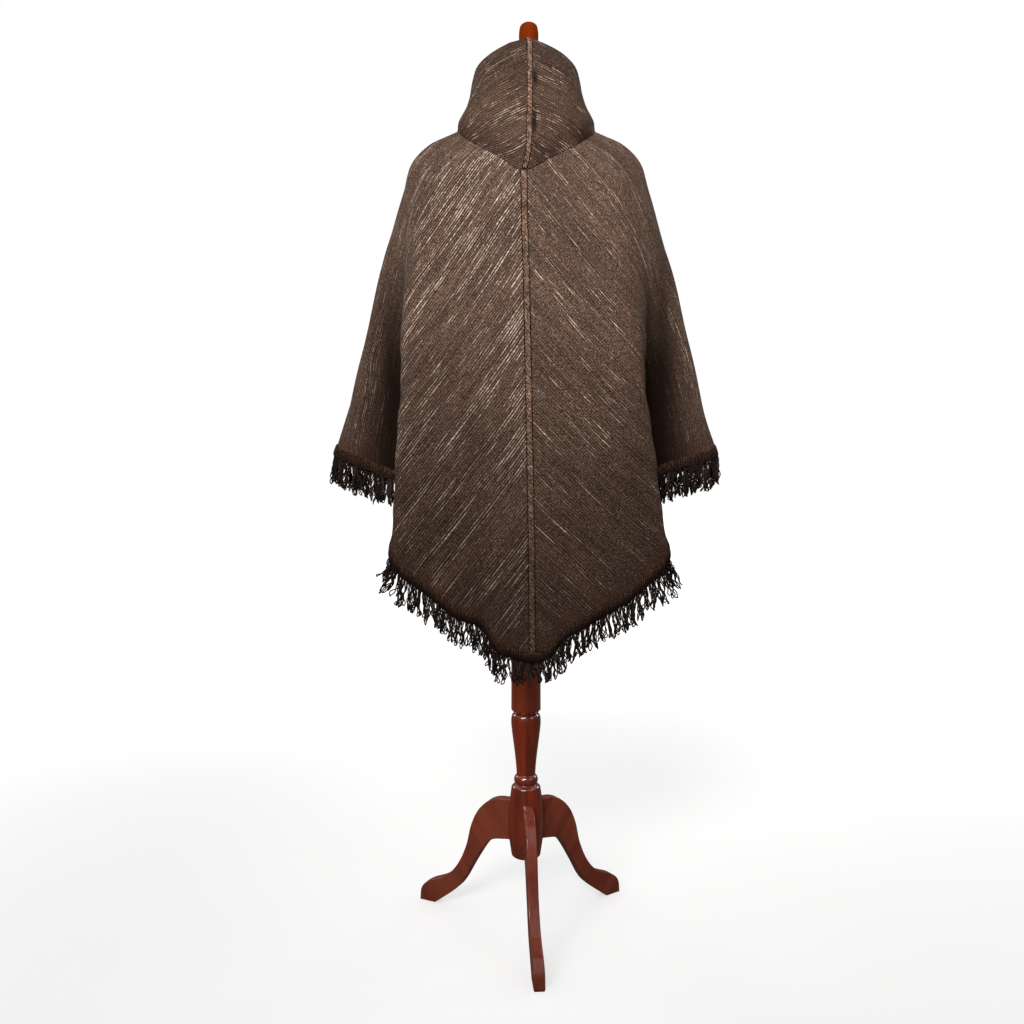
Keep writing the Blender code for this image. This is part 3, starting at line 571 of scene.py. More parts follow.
def yarn_run(grid, rises):
    """How far each point lies across the yarns and along them, in metres.

    The yarns climb to the centre seams, more steeply high up and near the sides.
    """
    steps = np.linalg.norm(np.diff(grid[..., :2], axis=1), axis=2)
    around = np.concatenate((np.zeros((len(grid), 1)), np.cumsum(steps, axis=1)), axis=1)
    middle = around[:, -1:] / 2
    beyond = around - middle
    from_seam = middle - np.sqrt(beyond ** 2 + SIDE_SOFTNESS ** 2)
    steepening = YARN_BEND * np.clip(from_seam - YARN_BEND_FROM, 0, None) ** 2
    rise = math.radians(sum(rises) / 2)
    slope = np.interp(grid[..., 2], YARN_RISE_AT, np.tan(np.radians(rises)))
    across = math.cos(rise) * (grid[..., 2] + slope * from_seam + steepening)
    along = math.sin(rise) * grid[..., 2] - math.cos(rise) * from_seam
    return np.stack((across, along), axis=-1)


class Half:
    """One half of the poncho: its outer surface with what is measured on it."""

    def __init__(self, side):
        grid, self.station, self.section = plain_drape(side)
        self.side = side
        self.across, self.along = flat_cut(grid)
        heights = crease_heights(side, self.station, self.section, self.across, self.along)
        grid = grid + outward(grid) * heights[..., None]
        grid = add_hem_waves(grid, side, self.station, lengths_along(grid, 0))
        self.weave = yarn_run(grid, YARN_RISE[side])
        self.grid = drifted(grid, self.section, self.station, SEAM_DRIFT, SEAM_DRIFT_HOLD)
        self.normals = outward(self.grid)
        down = lengths_along(self.grid, 0)
        self.to_hem = down[-1:] - down


def hood_surface(half):
    """Half of the hood: its outer surface, its lower edge on the panel, and its Edge map.

    That map holds how deep each point lies in a pucker, and how far up the hood it is.
    """
    table = np.array([points for _, *points in HOOD_ARCHES])
    table = np.concatenate((table[:, 1:2] * (-1.0, 1.0, 1.0), table), axis=1)
    station = half.station[::2]
    grid, places = lofted(table, HOOD_ROWS_BETWEEN, HOOD_STATIONS, station)
    grid[:, 0, 0] = HALF_GAP
    arch = between(np.arange(len(table), dtype=float), HOOD_ROWS_BETWEEN)
    grid = drifted(on_side(grid, half.side), arch, station, HOOD_DRIFT, HOOD_DRIFT_HOLD)
    apart = np.abs(grid[:, :, 0] - grid[:, :1, 0])
    rises = np.zeros_like(apart)
    for side, place, height, half_width, half_length, rise in HOOD_CREASES:
        if side == half.side:
            rises += rise * np.exp(-((apart - place) / half_width) ** 2
                                   - ((grid[:, :, 2] - height) / half_length) ** 2)
    grid = grid + outward(grid) * rises[..., None]
    neck = half.grid[0, ::2]
    along = unit(half.grid[1, ::2] - neck)
    edge = neck + half.normals[0, ::2] * HOOD_GAP + along * HOOD_LAP
    fit = np.clip(1 - places / (places[-1] * HOOD_FIT_FADE), 0, 1)[:, None, None] ** 2
    grid = grid + (edge - grid[0])[None] * fit
    depth = np.clip(-rises / HOOD_CREASE_DEPTH, 0, 1)
    up = np.broadcast_to(arch[:, None] / arch[-1], depth.shape)
    return grid, np.stack((depth, up), axis=-1)


# ---------------------------------------------------------------- meshes

def add_object(name, data):
    """A new object in the scene."""
    new = bpy.data.objects.new(name, data)
    bpy.context.scene.collection.objects.link(new)
    return new


def mesh_object(name, points, faces, weave=None, edge=None):
    """A smooth object from points and faces, with its coordinates on the cloth as UV maps."""
    mesh = bpy.data.meshes.new(name)
    mesh.from_pydata(points.reshape(-1, 3).tolist(), [], faces)
    corner = np.empty(len(mesh.loops), dtype=np.int32)
    mesh.loops.foreach_get("vertex_index", corner)
    for title, values in (("Weave", weave), ("Edge", edge)):
        if values is not None:
            layer = mesh.uv_layers.new(name=title)
            layer.data.foreach_set("uv", values.reshape(-1, 2)[corner].ravel())
    mesh.shade_smooth()
    return add_object(name, mesh)


def rework(mesh, *steps):
    """Change a mesh by steps that each take it opened for editing."""
    body = bmesh.new()
    body.from_mesh(mesh)
    for step in steps:
        step(body)
    body.to_mesh(mesh)
    body.free()


def face_outwards(body):
    """A step that turns a closed mesh's faces outwards."""
    bmesh.ops.recalc_face_normals(body, faces=body.faces)


def merge_within(distance):
    """A step that joins vertices closer than a distance."""
    return lambda body: bmesh.ops.remove_doubles(body, verts=body.verts, dist=distance)


def grid_faces(rows, columns, flip):
    """Quads over a grid of points, turned over if flip is set."""
    first = (np.arange(rows - 1)[:, None] * columns + np.arange(columns - 1)).ravel()
    quads = np.stack((first, first + columns, first + columns + 1, first + 1), axis=1)
    return (quads[:, ::-1] if flip else quads).tolist()


def cloth_object(name, grid, normals, weave, edge, thick):
    """A thin cloth shell whose outer face runs through a grid of points."""
    facing = np.cross(grid[1, 0] - grid[0, 0], grid[0, 1] - grid[0, 0]) @ normals[0, 0]
    new = mesh_object(name, grid, grid_faces(*grid.shape[:2], facing < 0), weave, edge)
    wall = new.modifiers.new("cloth", "SOLIDIFY")
    wall.thickness = thick
    wall.offset = -1.0
    wall.use_even_offset = False
    return new


def round_frames(paths):
    """Two vectors across each path at each of its points, without twist."""
    ahead = unit(np.gradient(paths, axis=1))
    across = unit(np.cross(ahead[:, 0], (0.31, 0.52, 0.79)))
    frames = np.empty_like(paths)
    for k in range(paths.shape[1]):
        step = ahead[:, k]
        across = unit(across - (across * step).sum(axis=1, keepdims=True) * step)
        frames[:, k] = across
    return frames, np.cross(ahead, frames)


def tube_walls(index):
    """Quads between rings of points, which are given by their numbers."""
    after = np.roll(index, -1, axis=-1)
    walls = (index[..., :-1, :], after[..., :-1, :], after[..., 1:, :], index[..., 1:, :])
    return np.stack(walls, axis=-1).reshape(-1, 4).tolist()


def yarns_object(name, paths, radius, sides):
    """Round yarns along many open paths, joined in one mesh."""
    count, steps = paths.shape[:2]
    one, other = round_frames(paths)
    turn = 2 * math.pi * np.arange(sides) / sides
    ring = (one[:, :, None] * np.cos(turn)[:, None] + other[:, :, None] * np.sin(turn)[:, None])
    points = paths[:, :, None] + ring * radius
    index = np.arange(count * steps * sides).reshape(count, steps, sides)
    faces = tube_walls(index) + index[:, 0, ::-1].tolist() + index[:, -1].tolist()
    weave = np.empty((count, steps, sides, 2))
    weave[..., 0] = np.arange(count)[:, None, None] + np.arange(sides) / sides
    weave[..., 1] = lengths_along(paths, 1)[:, :, None]
    return mesh_object(name, points, faces, weave)


# ---------------------------------------------------------------- seams and hem

def seam_lines(left, right, offsets):
    """Points and normals at offsets across a seam; negative ones lie on the left half."""
    rows = left[0].shape[0]
    points = np.empty((rows, len(offsets), 3))
    normals = np.empty_like(points)
    for k, offset in enumerate(offsets):
        grid, normal = (part[:, :SEAM_COLUMNS] for part in (left if offset < 0 else right))
        reach = lengths_along(grid, 1)
        for i in range(rows):
            points[i, k] = at_places(abs(offset), reach[i], grid[i])
            normals[i, k] = at_places(abs(offset), reach[i], normal[i])
    return points, unit(normals)


def felled_seam(name, left, right, weave, half_width):
    """A felled seam: a raised strip that dips at its stitched edges."""
    offsets, rise = np.array(FELL_SECTION).T
    offsets = np.concatenate((-offsets[:0:-1], offsets))
    rise = np.concatenate((rise[:0:-1], rise))
    points, normals = seam_lines(left, right, offsets * half_width)
    middle = len(FELL_SECTION) - 1
    run = lengths_along(points, 0)[:, middle:middle + 1]
    stitched = np.abs(offsets) > FELL_PUCKER_FROM
    pucker = FELL_PUCKER * np.sin(2 * math.pi * run / STITCH_PITCH) * stitched
    share, length = FELL_WAVE
    slow = share * np.sin(2 * math.pi * run / length + offsets)
    grid = points + normals * ((rise + pucker + slow) * FELL_RISE)[..., None]
    edge = np.stack(np.broadcast_arrays(offsets, run), axis=-1)
    return cloth_object(name, grid, normals, weave(points), edge, FELL_THICK)


def stitches(name, left, right, half_width):
    """Two rows of small stitches, along both edges of a felled seam."""
    aside = half_width * STITCH_OUT
    points, normals = seam_lines(left, right, (-aside, aside))
    lift = FELL_RISE * STITCH_HEIGHT + np.array(STITCH_ARCH) * STITCH_RADIUS
    paths = []
    for k in range(2):
        run = lengths_along(points[:, k:k + 1], 0)[:, 0]
        starts = np.arange(STITCH_PITCH / 2, run[-1] - STITCH_PITCH, STITCH_PITCH)
        places = starts[:, None] + np.linspace(0, STITCH_LENGTH, len(lift))
        out = at_places(places, run, normals[:, k])
        paths.append(at_places(places, run, points[:, k]) + out * lift[:, None])
    return yarns_object(name, np.concatenate(paths), STITCH_RADIUS, STITCH_SIDES)


def hem_line(half, front):
    """The hem of a quarter from the middle to the side: points, normals and way down."""
    middle = half.grid.shape[1] // 2
    span = slice(half.grid.shape[1] - 1, middle - 1, -1) if front else slice(0, middle + 1)
    fall = unit(half.grid[-1, span] - half.grid[-1 - HEM_ROWS, span])
    return half.grid[-1, span], half.normals[-1, span], fall


def edging_object(name, hem, shuffle):
    """The woven edging, a soft flat tube round the cloth's hem."""
    run = lengths_along(hem[0][None], 1)[0]
    steps = int(run[-1] / EDGING_STEP)
    places = np.linspace(0, run[-1], steps)
    line, out, down = (at_places(places, run, part) for part in hem)
    section = np.array(EDGING_SECTION)
    count = len(section)
    ribs, spacing = EDGING_RIBS
    share, length, start = EDGING_SWELL
    swell = (1 + ribs * np.sin(places / spacing * math.pi)
             + share * np.sin(places / length + start))
    wobble = EDGING_WOBBLE * shuffle.normal(size=(steps, 1, 3)).repeat(count, axis=1)
    grid = (line[:, None] + down[:, None] * section[None, :, :1]
            + out[:, None] * (section[None, :, 1:] * swell[:, None, None]) + wobble)
    index = np.arange(steps * count).reshape(steps, count)
    faces = tube_walls(index) + [index[0, ::-1].tolist(), index[-1].tolist()]
    around = lengths_along(section[None], 1)[0]
    weave = np.stack(np.broadcast_arrays(places[:, None], around[None]), axis=-1)
    station = np.interp(places, run, np.linspace(0, RIDGE_STATION, len(run)))
    edge = np.stack(np.broadcast_arrays(station[:, None], section[None, :, 0]), axis=-1)
    new = mesh_object(name, grid, faces, weave, edge)
    rework(new.data, face_outwards)
    return new


def lock_waves(waves, phases, share):
    """Slow waves down each lock, growing from its root."""
    return share ** LOCK_WAVE_GROWTH * sum(
        height * np.sin(2 * math.pi * turns * share + phase)
        for (height, turns), phase in zip(waves, phases))


def fringe_paths(hem, shuffle):
    """Looped locks of two twisted plies, hanging from the edging."""
    run = lengths_along(hem[0][None], 1)[0]
    count = int(run[-1] / LOCK_PITCH)
    places = (np.arange(count) + 0.5 + shuffle.uniform(*LOCK_JITTER, count)) * run[-1] / count
    root, out, down = (at_places(places, run, part) for part in hem)
    ahead = unit(at_places(places + EDGING_STEP, run, hem[0]) - root)
    station = np.interp(places, run, np.linspace(0, RIDGE_STATION, len(run)))
    splay, corner, half_width = CORNER_SPLAY
    lean = (shuffle.uniform(*LOCK_LEAN, count)
            + splay * np.exp(-((station - corner) / half_width) ** 2))
    tilt = shuffle.uniform(*LOCK_TILT, count)
    way = unit(np.array((0.0, 0.0, -1.0)) + ahead * lean[:, None] + out * tilt[:, None])
    depth = shuffle.uniform(*LOCK_DEPTH, count)
    root = root + down * LOCK_ROOT + out * depth[:, None]
    length = np.interp(station, *zip(*LOCK_LENGTHS))
    length = length + LOCK_SPREAD * shuffle.uniform(-1.0, 1.0, count)
    share = np.linspace(0, 1, 2 * LOCK_STEPS)
    t = 1 - np.abs(2 * share - 1)
    ply = np.clip((0.5 - share) / LOCK_TIP, -1, 1)
    phase = shuffle.uniform(0, 2 * math.pi, (6, count, 1))
    waver = lock_waves(LOCK_WAVER, phase[:2], t)
    sway = lock_waves(LOCK_SWAY, phase[2:4], t)
    turns = LOCK_TURNS * shuffle.uniform(*LOCK_TURN_RANGE, (count, 1))
    angle = 2 * math.pi * turns * t + phase[4]
    open_end = np.clip(shuffle.uniform(*LOOP_OPEN, (count, 1)), 0, None)
    opens = shuffle.uniform(*LOOP_STARTS, (count, 1))
    wider = open_end * ease((t - opens) / LOOP_GROWS)
    swing = PLY_RADIUS + (LOOP_RADIUS - PLY_RADIUS) * wider
    side = unit(np.cross(way, out))
    front = np.cross(side, way)
    line = root[:, None] + way[:, None] * (length[:, None] * t)[..., None]
    line += side[:, None] * (waver + ply * swing * np.cos(angle))[..., None]
    line += front[:, None] * (sway + ply * swing * np.sin(angle))[..., None]
    return line


# ---------------------------------------------------------------- stand and form

def node_profile(node):
    """A turned CAD node's middle, and its profile as radius and height from top to bottom."""
    low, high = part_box(node)
    middle = np.array(((low[0] + high[0]) / 2, (low[1] + high[1]) / 2))
    points = np.array([vertex.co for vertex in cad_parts[node].data.vertices])
    radius = np.hypot(points[:, 0] - middle[0], points[:, 1] - middle[1])
    rings = {(round(r, 4), round(z, 4)) for r, z in zip(radius, points[:, 2])}
    top, foot = max(z for _, z in rings), min(z for _, z in rings)
    wall = sorted((ring for ring in rings if ring[0] > 0.001), key=lambda ring: -ring[1])
    upper = sorted(ring for ring in wall if ring[1] == top)
    lower = sorted((ring for ring in wall if ring[1] == foot), reverse=True)
    inner = [ring for ring in wall if foot < ring[1] < top]
    return middle, [(0.0, top)] + upper + inner + lower + [(0.0, foot)]


def smoothed(profile):
    """A profile with more points on its curves, and its sharp corners kept."""
    profile = np.array(profile)
    steps = unit(np.diff(profile, axis=0))
    bends = np.degrees(np.arccos(np.clip((steps[1:] * steps[:-1]).sum(axis=1), -1, 1)))
    corners = [k + 1 for k, bend in enumerate(bends) if bend > CORNER_BEND]
    corners = [0] + corners + [len(profile) - 1]
    line = []
    for a, b in zip(corners[:-1], corners[1:]):
        stretch = profile[a:b + 1]
        if len(stretch) > 2:
            knots = lengths_along(stretch[None], 1)[0]
            stretch = through(knots, stretch, between(knots, TURNED_SMOOTH))
        line += stretch[:-1].tolist()
    return line + [profile[-1].tolist()]


def turned_object(name, node, rounding):
    """A turned piece in place of a CAD node, smooth round and down its profile."""
    middle, profile = node_profile(node)
    line = smoothed(profile)
    mesh = bpy.data.meshes.new(name)
    edges = [(k, k + 1) for k in range(len(line) - 1)]
    mesh.from_pydata([(max(r, 0.0), 0.0, z) for r, z in line], edges, [])
    new = add_object(name, mesh)
    new.location = (middle[0], middle[1], 0.0)
    sweep = new.modifiers.new("turning", "SCREW")
    sweep.steps = TURNED_STEPS
    sweep.render_steps = TURNED_STEPS
    sweep.use_merge_vertices = True
    sweep.merge_threshold = TURNED_WELD
    sweep.use_smooth_shade = True
    soften = new.modifiers.new("rounded edges", "BEVEL")
    soften.width = rounding
    soften.segments = 3
    soften.limit_method = "ANGLE"
    soften.angle_limit = math.radians(CORNER_BEND)
    return new


def leg_object(name, angle):
    """A sawn leg: its outline as a filled curve, set upright and turned about the post."""
    outline = []
    for edge in (LEG_TOP_EDGE, LEG_UNDER_EDGE):
        knots = np.arange(len(edge))
        outline += through(knots, edge, between(knots, LEG_SMOOTH)).tolist()
    curve = bpy.data.curves.new(name, "CURVE")
    curve.dimensions = "2D"
    curve.fill_mode = "BOTH"
    curve.extrude = LEG_THICK / 2 - LEG_ROUNDING
    curve.bevel_depth = LEG_ROUNDING
    curve.bevel_resolution = 3
    curve.offset = -LEG_ROUNDING
    line = curve.splines.new("POLY")
    line.points.add(len(outline) - 1)
    for point, (reach, height) in zip(line.points, outline):
        point.co = (reach, height, 0.0, 1.0)
    line.use_cyclic_u = True
    shape = add_object(name + "_outline", curve)
    evaluated = shape.evaluated_get(bpy.context.evaluated_depsgraph_get())
    mesh = bpy.data.meshes.new_from_object(evaluated)
    bpy.data.objects.remove(shape)
    rework(mesh, merge_within(LEG_WELD))
    mesh.shade_smooth()
    new = add_object(name, mesh)
    new.location = (0.0, AXIS_Y, 0.0)
    new.rotation_euler = (math.radians(90), 0.0, math.radians(angle))
    flatten = new.modifiers.new("flat sides", "WEIGHTED_NORMAL")
    flatten.keep_sharp = True
    return new


def form_object(name, node):
    """The dress form, smooth, from its CAD node's mesh."""
    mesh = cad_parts[node].data.copy()
    mesh.materials.clear()
    rework(mesh, merge_within(FORM_WELD), lambda body: bmesh.ops.join_triangles(
        body, faces=body.faces, angle_face_threshold=math.radians(30),
        angle_shape_threshold=math.radians(60)))
    mesh.shade_smooth()
    new = add_object(name, mesh)
    round_off = new.modifiers.new("round", "SUBSURF")
    round_off.levels = 2
    round_off.render_levels = 2
    return new


# ---------------------------------------------------------------- materials

def linear(colour):
    """An sRGB colour as the linear colour that a shader takes."""
    return tuple(c / 12.92 if c < 0.04045 else ((c + 0.055) / 1.055) ** 2.4 for c in colour)


def rgba(colour):
    """An sRGB colour as a colour socket takes it."""
    return (*linear(colour), 1.0)


class Graph:
    """A node tree, with short ways to work things out in it.

    Values are numbers, colours or vectors, or sockets to link from.
    """

    def __init__(self, tree):
        self.tree = tree

    def set(self, node, inputs):
        """Give a node's inputs their values."""
        for key, value in inputs.items():
            if isinstance(value, bpy.types.NodeSocket):
                self.tree.links.new(value, node.inputs[key])
            else:
                node.inputs[key].default_value = value

    def put(self, kind, inputs=None, **settings):
        """Add a shader node with its settings and inputs."""
        new = self.tree.nodes.new("ShaderNode" + kind)
        for key, value in settings.items():
            setattr(new, key, value)
        self.set(new, inputs or {})
        return new

    def calc(self, operation, *values):
        """A Math node's result."""
        return self.put("Math", dict(enumerate(values)), operation=operation).outputs[0]

    def times(self, first, *more):
        """A product."""
        for value in more:
            first = self.calc("MULTIPLY", first, value)
        return first

    def plus(self, one, other):
        """A sum."""
        return self.calc("ADD", one, other)

    def scaled(self, value, scale, added):
        """A value times a scale, with something added."""
        return self.calc("MULTIPLY_ADD", value, scale, added)

    def ramp(self, value, low, high, start=0.0, end=1.0):
        """A smooth step of a value, from start to end as it goes from low to high."""
        return self.put("MapRange", {"Value": value, "From Min": low, "From Max": high,
                                     "To Min": start, "To Max": end},
                        interpolation_type="SMOOTHSTEP").outputs["Result"]

    def mix(self, share, first, second, blend="MIX"):
        """Two colours mixed."""
        return self.put("Mix", {0: share, 6: first, 7: second}, data_type="RGBA",
                        blend_type=blend).outputs[2]

    def shaded(self, colour, amount):
        """A colour made darker or lighter by an amount."""
        grey = self.put("CombineColor", dict.fromkeys(range(3), amount)).outputs[0]
        return self.mix(1.0, colour, grey, "MULTIPLY")

    def noise(self, place, scale, detail, roughness=0.5, dimensions="3D"):
        """A noise value about one half."""
        return self.put("TexNoise", {"Vector": place, "Scale": scale, "Detail": detail,
                                     "Roughness": roughness},
                        noise_dimensions=dimensions).outputs["Fac"]

    def grain(self, x, y, scales, detail, roughness=0.5):
        """A noise value over two coordinates, each with its own scale."""
        place = self.vector(self.times(x, scales[0]), self.times(y, scales[1]))
        return self.noise(place, 1.0, detail, roughness, "2D")

    def vector(self, x, y):
        """A vector from its first two parts."""
        return self.put("CombineXYZ", {"X": x, "Y": y}).outputs[0]

    def parts(self, socket):
        """The parts of a vector."""
        return self.put("SeparateXYZ", {"Vector": socket}).outputs

    def uv_map(self, name):
        """The coordinates of a UV map."""
        return self.put("UVMap", uv_map=name).outputs["UV"]

    def place(self):
        """The place on the object itself."""
        return self.put("TexCoord").outputs["Object"]

    def finish(self, colour, height, distance, strength=1.0):
        """Give the shader its colour, and raise it by a height over a distance in metres."""
        bump = self.put("Bump", {"Height": height, "Distance": distance,
                                 "Strength": strength})
        self.set(self.shader, {"Base Color": colour, "Normal": bump.outputs["Normal"]})


def start_group(name, takes, gives):
    """A new node group: its graph, its input sockets and its output node."""
    tree = bpy.data.node_groups.new(name, "ShaderNodeTree")
    for way, sockets in (("INPUT", takes), ("OUTPUT", gives)):
        for title, kind in sockets.items():
            tree.interface.new_socket(name=title, in_out=way,
                                      socket_type="NodeSocket" + kind)
    given = tree.nodes.new("NodeGroupInput").outputs
    return Graph(tree), given, tree.nodes.new("NodeGroupOutput")


def weave_group():
    """Warp-faced wool whose yarns are dyed dark and tan by turns along their length."""
    graph, given, result = start_group(
        "space dyed weave",
        {"Weave": "Vector", "Dark": "Color", "Brown": "Color", "Tan": "Color",
         "Streaks": "Float", "Ribs": "Float"},
        {"Colour": "Color", "Height": "Float"})
    across, along, _ = graph.parts(given["Weave"])
    wander = graph.grain(across, along, WANDER_SCALES, 1.0)
    yarn = graph.calc("DIVIDE", graph.scaled(wander, YARN_WANDER, across), YARN_PITCH)
    index = graph.calc("FLOOR", yarn)
    phase = graph.scaled(graph.calc("FRACT", yarn), 2.0, -1.0)
    ridge = graph.calc("SUBTRACT", 1.0, graph.times(phase, phase))

    # Light streaks: clusters of yarns, each dyed by turns, in dashes along it.
    cluster = graph.ramp(graph.grain(across, along, CLUSTER_SCALES, 2.0), 0.36, 0.64)
    dye = graph.grain(index, along, DYE_SCALES, 3.0, 0.62)
    start = graph.scaled(given["Streaks"], *STREAK_STARTS)
    start = graph.calc("SUBTRACT", start, graph.times(cluster, STREAK_CLUSTER))
    streak = graph.ramp(dye, start, graph.plus(start, STREAK_EDGE))
    strand = graph.calc("FLOOR", graph.times(yarn, STRANDS))
    pick = graph.calc("FLOOR", graph.calc("DIVIDE", along, PICK_LENGTH))
    speck = graph.put("TexWhiteNoise", {"Vector": graph.vector(strand, pick)},
                      noise_dimensions="2D").outputs["Value"]
    dashes = graph.grain(index, along, DASH_SCALES, 1.0)
    streak = graph.times(streak, graph.calc("POWER", ridge, STREAK_SHARPNESS),
                         graph.scaled(speck, 0.55, 0.45),
                         graph.ramp(dashes, 0.30, 0.62, 0.25, 1.35))
    tone = graph.times(graph.calc("POWER", speck, 1.5), graph.scaled(ridge, 0.6, 0.4))
    colour = graph.mix(tone, given["Dark"], given["Brown"])
    colour = graph.mix(streak, colour, given["Tan"])

    # Shade: grooves between the yarns, clouds, lines of single yarns, and mottling.
    depth = graph.times(graph.scaled(cluster, 0.45, 0.42), given["Ribs"])
    groove = graph.calc("SUBTRACT", 1.0, depth)
    shade = graph.scaled(depth, ridge, groove)
    clouds = graph.grain(across, along, CLOUD_SCALES, 2.0)
    lines = graph.grain(index, along, LINE_SCALES, 2.0)
    mottle = graph.grain(across, along, MOTTLE_SCALES, 1.0)
    shade = graph.times(shade, graph.scaled(clouds, 0.5, 0.75),
                        graph.scaled(lines, 1.1, 0.45), graph.scaled(mottle, 0.9, 0.55))
    height = graph.times(ridge, graph.scaled(speck, 0.5, 0.5))
    graph.set(result, {"Colour": graph.shaded(colour, shade), "Height": height})
    return graph.tree


def yarn_group():
    """Plied yarn: each lock has its own tone, and the twist shows as slanting ridges."""
    graph, given, result = start_group(
        "twisted yarn",
        {"Weave": "Vector", "Dark": "Color", "Red": "Color", "Twist Length": "Float"},
        {"Colour": "Color", "Height": "Float"})
    around, along, _ = graph.parts(given["Weave"])
    own = graph.put("TexWhiteNoise", {"W": graph.calc("FLOOR", around)},
                    noise_dimensions="1D").outputs["Value"]
    twist = graph.plus(around, graph.calc("DIVIDE", along, given["Twist Length"]))
    ridge = graph.scaled(graph.calc("SINE", graph.times(twist, 4 * math.pi)), 0.5, 0.5)
    colour = graph.mix(graph.ramp(own, 0.50, 1.0), given["Dark"], given["Red"])
    fuzz = graph.grain(around, along, FUZZ_SCALES, 2.0)
    shade = graph.plus(graph.scaled(ridge, 0.4, 0.5), graph.times(fuzz, 0.4))
    height = graph.plus(ridge, graph.times(fuzz, 0.5))
    graph.set(result, {"Colour": graph.shaded(colour, shade), "Height": height})
    return graph.tree


def wood_group():
    """Lacquered wood with its grain along the piece's own z or x."""
    graph, given, result = start_group(
        "wood grain", {"Place": "Vector", "Light": "Color", "Dark": "Color"},
        {"Colour": "Color", "Height": "Float", "Roughness": "Float"})
    figure = graph.noise(given["Place"], 0.16, 2.0, 0.55)
    pores = graph.noise(given["Place"], 1.0, 3.0, 0.6)
    bands = graph.calc("SINE", graph.times(figure, 26.0))
    share = graph.plus(graph.scaled(bands, 0.20, 0.42), graph.scaled(pores, 0.9, -0.45))
    graph.set(result, {"Colour": graph.mix(share, given["Light"], given["Dark"]),
                       "Height": pores, "Roughness": graph.scaled(pores, 0.12, 0.26)})
    return graph.tree


def start_material(name, roughness, specular=0.5, sheen=0.0, coat=0.0):
    """A Principled material and its graph."""
    new = bpy.data.materials.new(name)
    new.use_nodes = True
    graph = Graph(new.node_tree)
    graph.shader = new.node_tree.nodes["Principled BSDF"]
    graph.set(graph.shader, {
        "Roughness": roughness, "Specular IOR Level": specular, "Sheen Weight": sheen,
        "Sheen Roughness": 0.45, "Sheen Tint": rgba(TAN), "Coat Weight": coat,
        "Coat Roughness": 0.06})
    return new, graph


def start_wool(name):
    """Matt brushed wool and its graph."""
    return start_material(name, 0.92, specular=0.03, sheen=0.015)


def woven(graph, group, dyes, streaks, ribs, weave=None):
    """A cloth's weave, from its dark, brown and tan dyes."""
    if weave is None:
        weave = graph.uv_map("Weave")
    dark, brown, tan = map(rgba, dyes)
    return graph.put("Group", {"Weave": weave, "Dark": dark, "Brown": brown, "Tan": tan,
                               "Streaks": streaks, "Ribs": ribs}, node_tree=group)


def end_wool(new, graph, cloth, colour):
    """Finish a wool's material with its colour and the relief of its weave."""
    graph.finish(colour, cloth.outputs["Height"], WEAVE_RELIEF)
    return new


def panel_wool(side, group):
    """Half of the poncho, with painted shade near the hem, inside the folds and low down the
    middle.
    """
    streaks, ribs = STREAKS[side], RIBS[side]
    new, graph = start_wool(f"wool_{side}")
    station, above, _ = graph.parts(graph.uv_map("Edge"))
    across, along, _ = graph.parts(graph.uv_map("Weave"))
    front = graph.calc("GREATER_THAN", station, RIDGE_STATION)
    weave = graph.vector(across, graph.scaled(front, FRONT_ALONG, along))
    aside = graph.calc("ABSOLUTE", graph.calc("SUBTRACT", station, RIDGE_STATION))
    # painted shade inside the side folds, where the wings lie behind the back's fold edges
    inside = graph.times(graph.ramp(aside, *FOLD_IN_SPAN), graph.ramp(aside, *FOLD_OUT_SPAN),
                         graph.ramp(above, *FOLD_UP_SPAN))
    # painted shade low down the middle of the back and front, growing towards the hem
    low = graph.times(graph.ramp(aside, *LOW_SPAN), graph.ramp(above, *LOW_UP_SPAN))
    shown = graph.scaled(low, -LOW_STREAKS, streaks)
    for span in (WING_SPAN + (-WING_STREAKS * streaks, 0.0), RIDGE_STREAKS,
                 SEAM_SPAN + (0.0, SEAM_STREAKS[side])):
        shown = graph.plus(shown, graph.ramp(aside, *span))
    cloth = woven(graph, group, YARN_DYES, shown,
                  graph.ramp(aside, *RIB_SPAN, RIDGE_RIBS * ribs, ribs), weave)
    # painted shade: the cloth turns darker and browner just above the hem
    colour = graph.mix(graph.ramp(above, *HEM_SPAN), cloth.outputs["Colour"], rgba(HEM_SHADE_BROWN))
    # the painted shade of the folds and of the low middle, mixed towards the painted-shade brown
    deep = graph.plus(graph.times(inside, FOLD_PAINTED_SHADE), graph.times(low, LOW_PAINTED_SHADE))
    return end_wool(new, graph, cloth, graph.mix(deep, colour, rgba(PAINTED_SHADE_BROWN)))


def lap_wool(group):
    """A seam's lap, with painted shade along its stitched edges and far down a long seam."""
    new, graph = start_wool("seam_wool")
    cloth = woven(graph, group, LAP_DYES, STREAKS["lap"], RIBS["lap"])
    offset, run, _ = graph.parts(graph.uv_map("Edge"))
    # painted shade far down a long seam, where the lower back gets less light
    colour = graph.mix(graph.ramp(run, *LAP_RUN_SHADE_SPAN), cloth.outputs["Colour"],
                       rgba(PAINTED_SHADE_BROWN))
    # painted shade in the grooves along the lap's stitched edges
    edge = graph.ramp(graph.calc("ABSOLUTE", offset), *LAP_EDGE_SHADE_SPAN)
    return end_wool(new, graph, cloth, graph.mix(edge, colour, rgba(PAINTED_SHADE_BROWN)))


